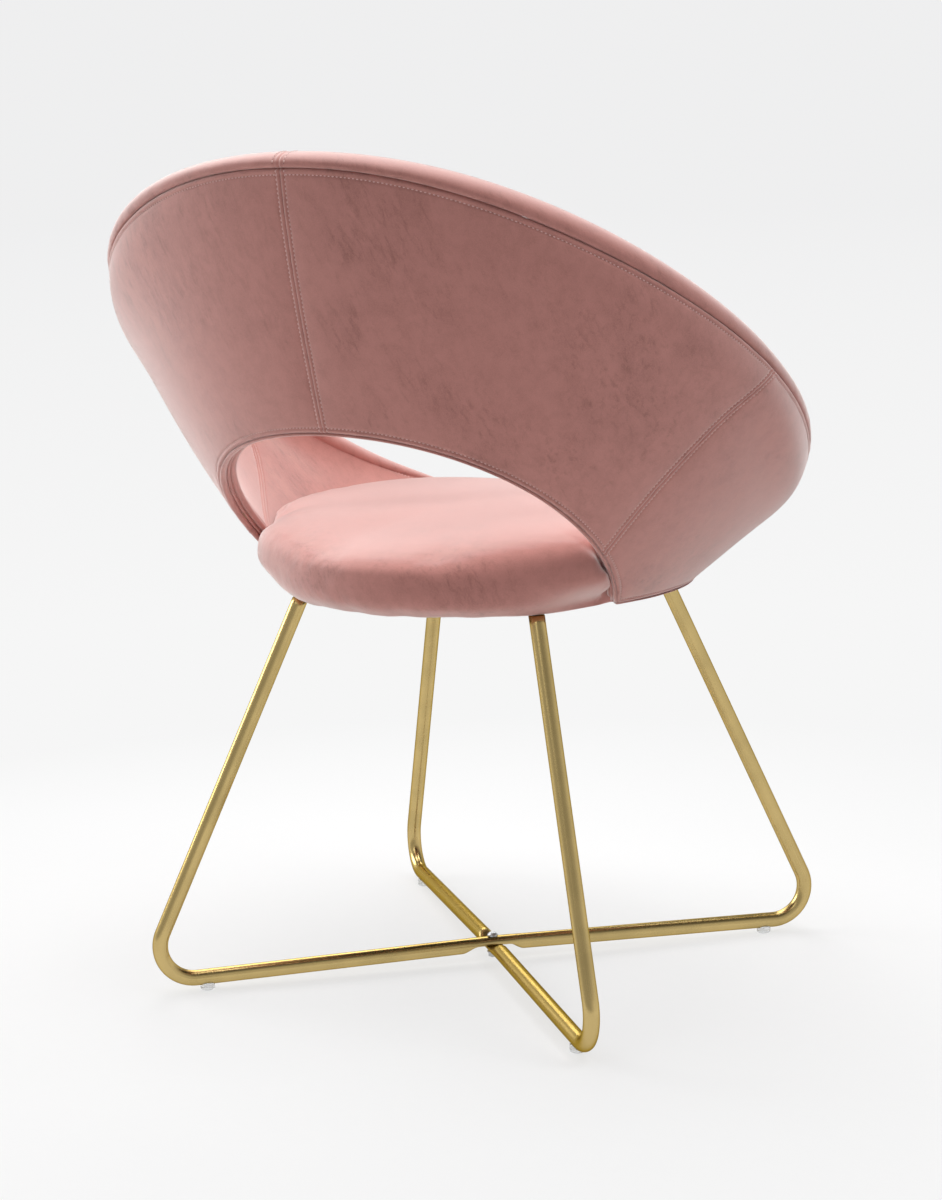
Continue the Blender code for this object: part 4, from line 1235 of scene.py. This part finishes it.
class CHAIR_OT_dust_cover(bpy.types.Operator):
    """The black cloth stapled flat under the seat, sagging a little between its edges."""

    bl_idname = "chair.dust_cover"
    bl_label = "Dust cover"

    def execute(self, context):
        low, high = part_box("dust_cover")
        turn = np.linspace(-np.pi, np.pi, 121)[:-1]
        share = np.linspace(0.02, 1, 30)[:, None]
        edge = DUST_SHARE * pad_edge(turn, BOARD_SHARE, high.z, BOARD_INSET)
        x = share * edge * np.sin(turn)
        y = SEAT_CENTRE_Y + share * edge * np.cos(turn)
        pulls = DUST_PULL * np.sin(turn * 26) * share**6
        z = low.z - DUST_SAG * (1 - share**2) ** 2 + pulls + 0 * x
        under = np.stack([x, y, z], -1)
        over = under + (0, 0, high.z - low.z)
        piece = put_sweep("under_cloth", np.concatenate([under, over[::-1]]))
        settle(piece, "dust_cloth", finish(black_nonwoven, context.scene.chair_colours), "dust_cover")
        return {"FINISHED"}


def bar_z(x):
    """Height of a bar's centre line along its diagonal: it rises evenly to the crossing."""
    return CROSSING_Z - (CROSSING_Z - BAR_FOOT_Z) * np.abs(x) / FOOT_REACH


def leg_line(top):
    """Centre line of a leg frame in its plane: leg, round bend, bar, crossing and back."""
    leg = unit(np.array([-LEG_LEAN, 1.0]))
    bar = unit(np.array([-FOOT_REACH, CROSSING_Z - BAR_FOOT_Z]))
    corner = np.array([FOOT_REACH, BAR_FOOT_Z])
    half_angle = np.arccos(leg @ bar) / 2
    centre = corner + unit(leg + bar) * BEND_RADIUS / np.sin(half_angle)
    run = BEND_RADIUS / np.tan(half_angle)
    first, last = corner + leg * run - centre, corner + bar * run - centre
    start = np.arctan2(first[1], first[0])
    turn = (np.arctan2(last[1], last[0]) - start) % (-2 * np.pi)
    bend = start + turn * np.linspace(0, 1, 30)
    rise = (top - BAR_FOOT_Z) / leg[1]
    straight = corner + leg * np.linspace(rise, run, 40)[:-1, None]
    arc = centre + BEND_RADIUS * np.stack([np.cos(bend), np.sin(bend)], -1)
    x = np.concatenate([np.linspace(arc[-1, 0], PRESS_END, 40)[1:], np.linspace(PRESS_END, 0, 30)[1:]])
    half = np.concatenate([straight, arc, np.stack([x, bar_z(x)], -1)])
    return np.concatenate([half, half[-2::-1] * (-1, 1)])


class CHAIR_OT_leg_frames(bpy.types.Operator):
    """Two bent gold tubes, pressed flat on one side where they cross."""

    bl_idname = "chair.leg_frames"
    bl_label = "Leg frames"

    def execute(self, context):
        gold = finish(satin_gold, context.scene.chair_colours)
        turn = np.linspace(0, 2 * np.pi, 41)[:-1]
        for name, (heading, side) in LEG_TURNS.items():
            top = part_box(name)[1].z
            line = leg_line(top)
            along = unit(np.gradient(line, axis=0))
            normal = np.stack([-along[:, 1], along[:, 0]], -1)
            flat = line[:, None] + normal[:, None] * (TUBE_RADIUS * np.sin(turn))[:, None]
            x, z = flat[..., 0], flat[..., 1]
            y = np.broadcast_to(TUBE_RADIUS * np.cos(turn), x.shape)
            depth = (1 - smooth(np.abs(x), PRESS_FLAT, PRESS_END)) * (z < 2 * CROSSING_Z)
            offset = (z - bar_z(x)) * side
            pressed = bar_z(x) + side * (offset * (1 - depth) - PRESS_GAP * depth)
            z = np.where(offset > -PRESS_GAP, pressed, z)
            y = y * (1 + PRESS_WIDEN * depth)
            lift = np.where(z > top - 2 * TUBE_RADIUS, top - z, 0) * (np.abs(x) > PRESS_END)
            ends = (np.arange(len(line)) == 0) | (np.arange(len(line)) == len(line) - 1)
            lift = np.where(ends[:, None], top - z, np.minimum(lift, 0))
            x = x - np.sign(x) * LEG_LEAN * lift
            z = z + lift
            c, s = np.cos(heading), np.sin(heading)
            sections = np.stack([x * c - y * s, x * s + y * c, z], -1)
            settle(put_sweep("tube_" + name, sections, run_length(line)), "gold_tube", gold, name)
        return {"FINISHED"}


class CHAIR_OT_fixings(bpy.types.Operator):
    """Finishes of the CAD pieces that keep their shape: plates, bolts, nuts, screws, boards, glides."""

    bl_idname = "chair.fixings"
    bl_label = "Fixings"

    def execute(self, context):
        colours = context.scene.chair_colours
        finishes = {
            "leg_plate": satin_gold,
            "cross_": zinc_plating,
            "plate_bolt": zinc_plating,
            "tee_nut": zinc_plating,
            "shell_screw": zinc_plating,
            "glide": milky_clear,
            "seat_board": raw_plywood,
            "shell_core": raw_plywood,
        }
        for name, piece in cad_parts.items():
            for start, recipe in finishes.items():
                if name.startswith(start):
                    piece.material_slots[0].material = finish(recipe, colours)
        return {"FINISHED"}


class CHAIR_OT_stage(bpy.types.Operator):
    """Pale studio floor, soft lights, the world and the camera."""

    bl_idname = "chair.stage"
    bl_label = "Stage"

    def execute(self, context):
        scene = context.scene
        scene.view_settings.view_transform = "Standard"
        self.floor(scene)
        self.world(scene)
        self.lights()
        self.camera(scene)
        return {"FINISHED"}

    def floor(self, scene):
        """A wide ring grid whose material fades into the background away from the chair."""
        turn = np.linspace(0, 2 * np.pi, 97)[:-1]
        reach = np.linspace(0.02, 1, 30)[:, None] ** 4 * FLOOR_REACH
        x, y = reach * np.cos(turn), reach * np.sin(turn)
        top = np.stack([x, y, 0 * x], -1)
        under = top - (0, 0, FLOOR_THICKNESS)
        piece = put_sweep("floor", np.concatenate([top, under[::-1]]))
        material, tree = new_material("studio_floor")
        place = node(tree, "TexCoord", {}).outputs["Object"]
        grain = ranged(tree, noise(tree, place, 60, 3), 0.3, 0.7)
        pale = scene.chair_colours.floor
        tone = blended(tree, grain, rgba(pale), rgba(pale, 0.985))
        matte = {"Base Color": tone, "Roughness": 0.9, "Specular IOR Level": 0.1}
        surface = node(tree, "BsdfPrincipled", matte)
        away = node(tree, "VectorMath", {0: place}, operation="LENGTH").outputs[1]
        fade = ranged(tree, away, 0.45, 1.25, 0.73, 1.0)
        far = ranged(tree, summed(tree, away, 10.0, "LOGARITHM"), 0.35, 1.5)
        light = blended(tree, far, NEAR_FLOOR, BACKDROP)
        glow = node(tree, "Emission", {"Color": light, "Strength": 1.0})
        share = product(tree, fade, self.seen(tree))
        mix = node(tree, "MixShader", {0: share, 1: surface.outputs[0], 2: glow.outputs[0]})
        node(tree, "OutputMaterial", {"Surface": mix.outputs[0]})
        piece.data.materials.append(material)

    def seen(self, tree):
        """1 for rays from the camera and for those that metal and glass send on."""
        path = node(tree, "LightPath", {})
        value = summed(tree, path.outputs["Is Camera Ray"], path.outputs["Is Glossy Ray"], "MAXIMUM")
        return summed(tree, value, path.outputs["Is Transmission Ray"], "MAXIMUM")

    def world(self, scene):
        """A pale backdrop, a darker room mirrored from behind the viewer, and an even grey light."""
        world = bpy.data.worlds.new("studio")
        scene.world = world
        world.use_nodes = True
        tree = world.node_tree
        tree.nodes.clear()
        light = node(tree, "Background", {"Color": SKY_LIGHT, "Strength": SKY_STRENGTH})
        way = node(tree, "TexCoord", {}).outputs["Generated"]
        parts = node(tree, "SeparateXYZ", {0: way}).outputs
        mirrored = node(tree, "LightPath", {}).outputs["Is Glossy Ray"]
        room = product(tree, ranged(tree, parts[1], 0.2, 0.9, 0.0, 0.55), mirrored)
        high = summed(tree, ranged(tree, parts[2], 0.30, 0.78), room, "MAXIMUM")
        sky = blended(tree, high, BACKDROP, DARK_ROOM)
        back = node(tree, "Background", {"Color": sky, "Strength": 1.0})
        mix = node(tree, "MixShader", {0: self.seen(tree), 1: light.outputs[0], 2: back.outputs[0]})
        node(tree, "OutputWorld", {"Surface": mix.outputs[0]})

    def lights(self):
        """Soft boxes over the seat, before, beside and behind the chair, and over its right-hand rim."""
        boxes = (
            ("top_box", (0.3, -0.3, 2.7), (0, -0.05, 0.45), 2.2, 55.0),
            ("front_box", (1.5, -1.9, 2.0), (0, -0.1, 0.5), 1.6, 26.0),
            ("side_box", (2.8, 0.3, 1.4), (0, 0, 0.55), 1.7, 44.0),
            ("back_box", (0.3, 2.3, 2.7), (0, 0, 0.5), 1.6, 11.0),
            ("rim_box", (-1.35, -0.1, 2.3), (-0.3, -0.05, 0.7), 1.0, 18.0),
        )
        for name, place, target, size, power in boxes:
            lamp = bpy.data.lights.new(name, "AREA")
            lamp.shape = "DISK"
            lamp.size = size
            lamp.energy = power
            holder = put_object(name, lamp)
            holder.location = place
            way = Vector(target) - Vector(place)
            holder.rotation_euler = way.to_track_quat("-Z", "Y").to_euler()
            holder.visible_glossy = name != "rim_box"

    def camera(self, scene):
        """A long lens where the photograph was taken from, turned a little about its axis."""
        lens = bpy.data.cameras.new("camera")
        lens.sensor_fit = "VERTICAL"
        lens.sensor_height = SENSOR
        lens.lens = FOCAL_PIXELS / IMAGE_HEIGHT * SENSOR
        eye = put_object("camera", lens)
        forward = (CAMERA_TARGET - CAMERA_PLACE).normalized()
        right = forward.cross(Vector((0, 0, 1))).normalized()
        up = right.cross(forward)
        c, s = np.cos(CAMERA_ROLL), np.sin(CAMERA_ROLL)
        right, up = right * c + up * s, up * c - right * s
        turn = Matrix((right, up, -forward)).transposed().to_4x4()
        eye.matrix_world = Matrix.Translation(CAMERA_PLACE + Vector((0, CROSSING_Y, 0))) @ turn
        scene.camera = eye


OPERATORS = (
    CHAIR_OT_outer_panels,
    CHAIR_OT_lining,
    CHAIR_OT_rolled_rim,
    CHAIR_OT_opening_edge,
    CHAIR_OT_cushion,
    CHAIR_OT_dust_cover,
    CHAIR_OT_leg_frames,
    CHAIR_OT_fixings,
    CHAIR_OT_stage,
)


class CHAIR_PT_build(bpy.types.Panel):
    """Lists the chair's sizes, colours and building steps."""

    bl_label = "Open-backed chair"
    bl_idname = "CHAIR_PT_build"
    bl_space_type = "VIEW_3D"
    bl_region_type = "UI"
    bl_category = "Chair"

    def draw(self, context):
        for group in (context.scene.chair_sizes, context.scene.chair_colours):
            box = self.layout.box()
            for key in group.__annotations__:
                box.prop(group, key)
        for operator in OPERATORS:
            self.layout.operator(operator.bl_idname)


CLASSES = (ChairSizes, ChairColours, *OPERATORS, CHAIR_PT_build)


def register():
    for item in CLASSES:
        bpy.utils.register_class(item)
    bpy.types.Scene.chair_sizes = PointerProperty(type=ChairSizes)
    bpy.types.Scene.chair_colours = PointerProperty(type=ChairColours)


def unregister():
    del bpy.types.Scene.chair_colours
    del bpy.types.Scene.chair_sizes
    for item in reversed(CLASSES):
        bpy.utils.unregister_class(item)


def main():
    """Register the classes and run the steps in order."""
    register()
    bpy.ops.chair.outer_panels()
    bpy.ops.chair.lining()
    bpy.ops.chair.rolled_rim()
    bpy.ops.chair.opening_edge()
    bpy.ops.chair.cushion()
    bpy.ops.chair.dust_cover()
    bpy.ops.chair.leg_frames()
    bpy.ops.chair.fixings()
    bpy.ops.chair.stage()


if __name__ == "__main__":
    main()
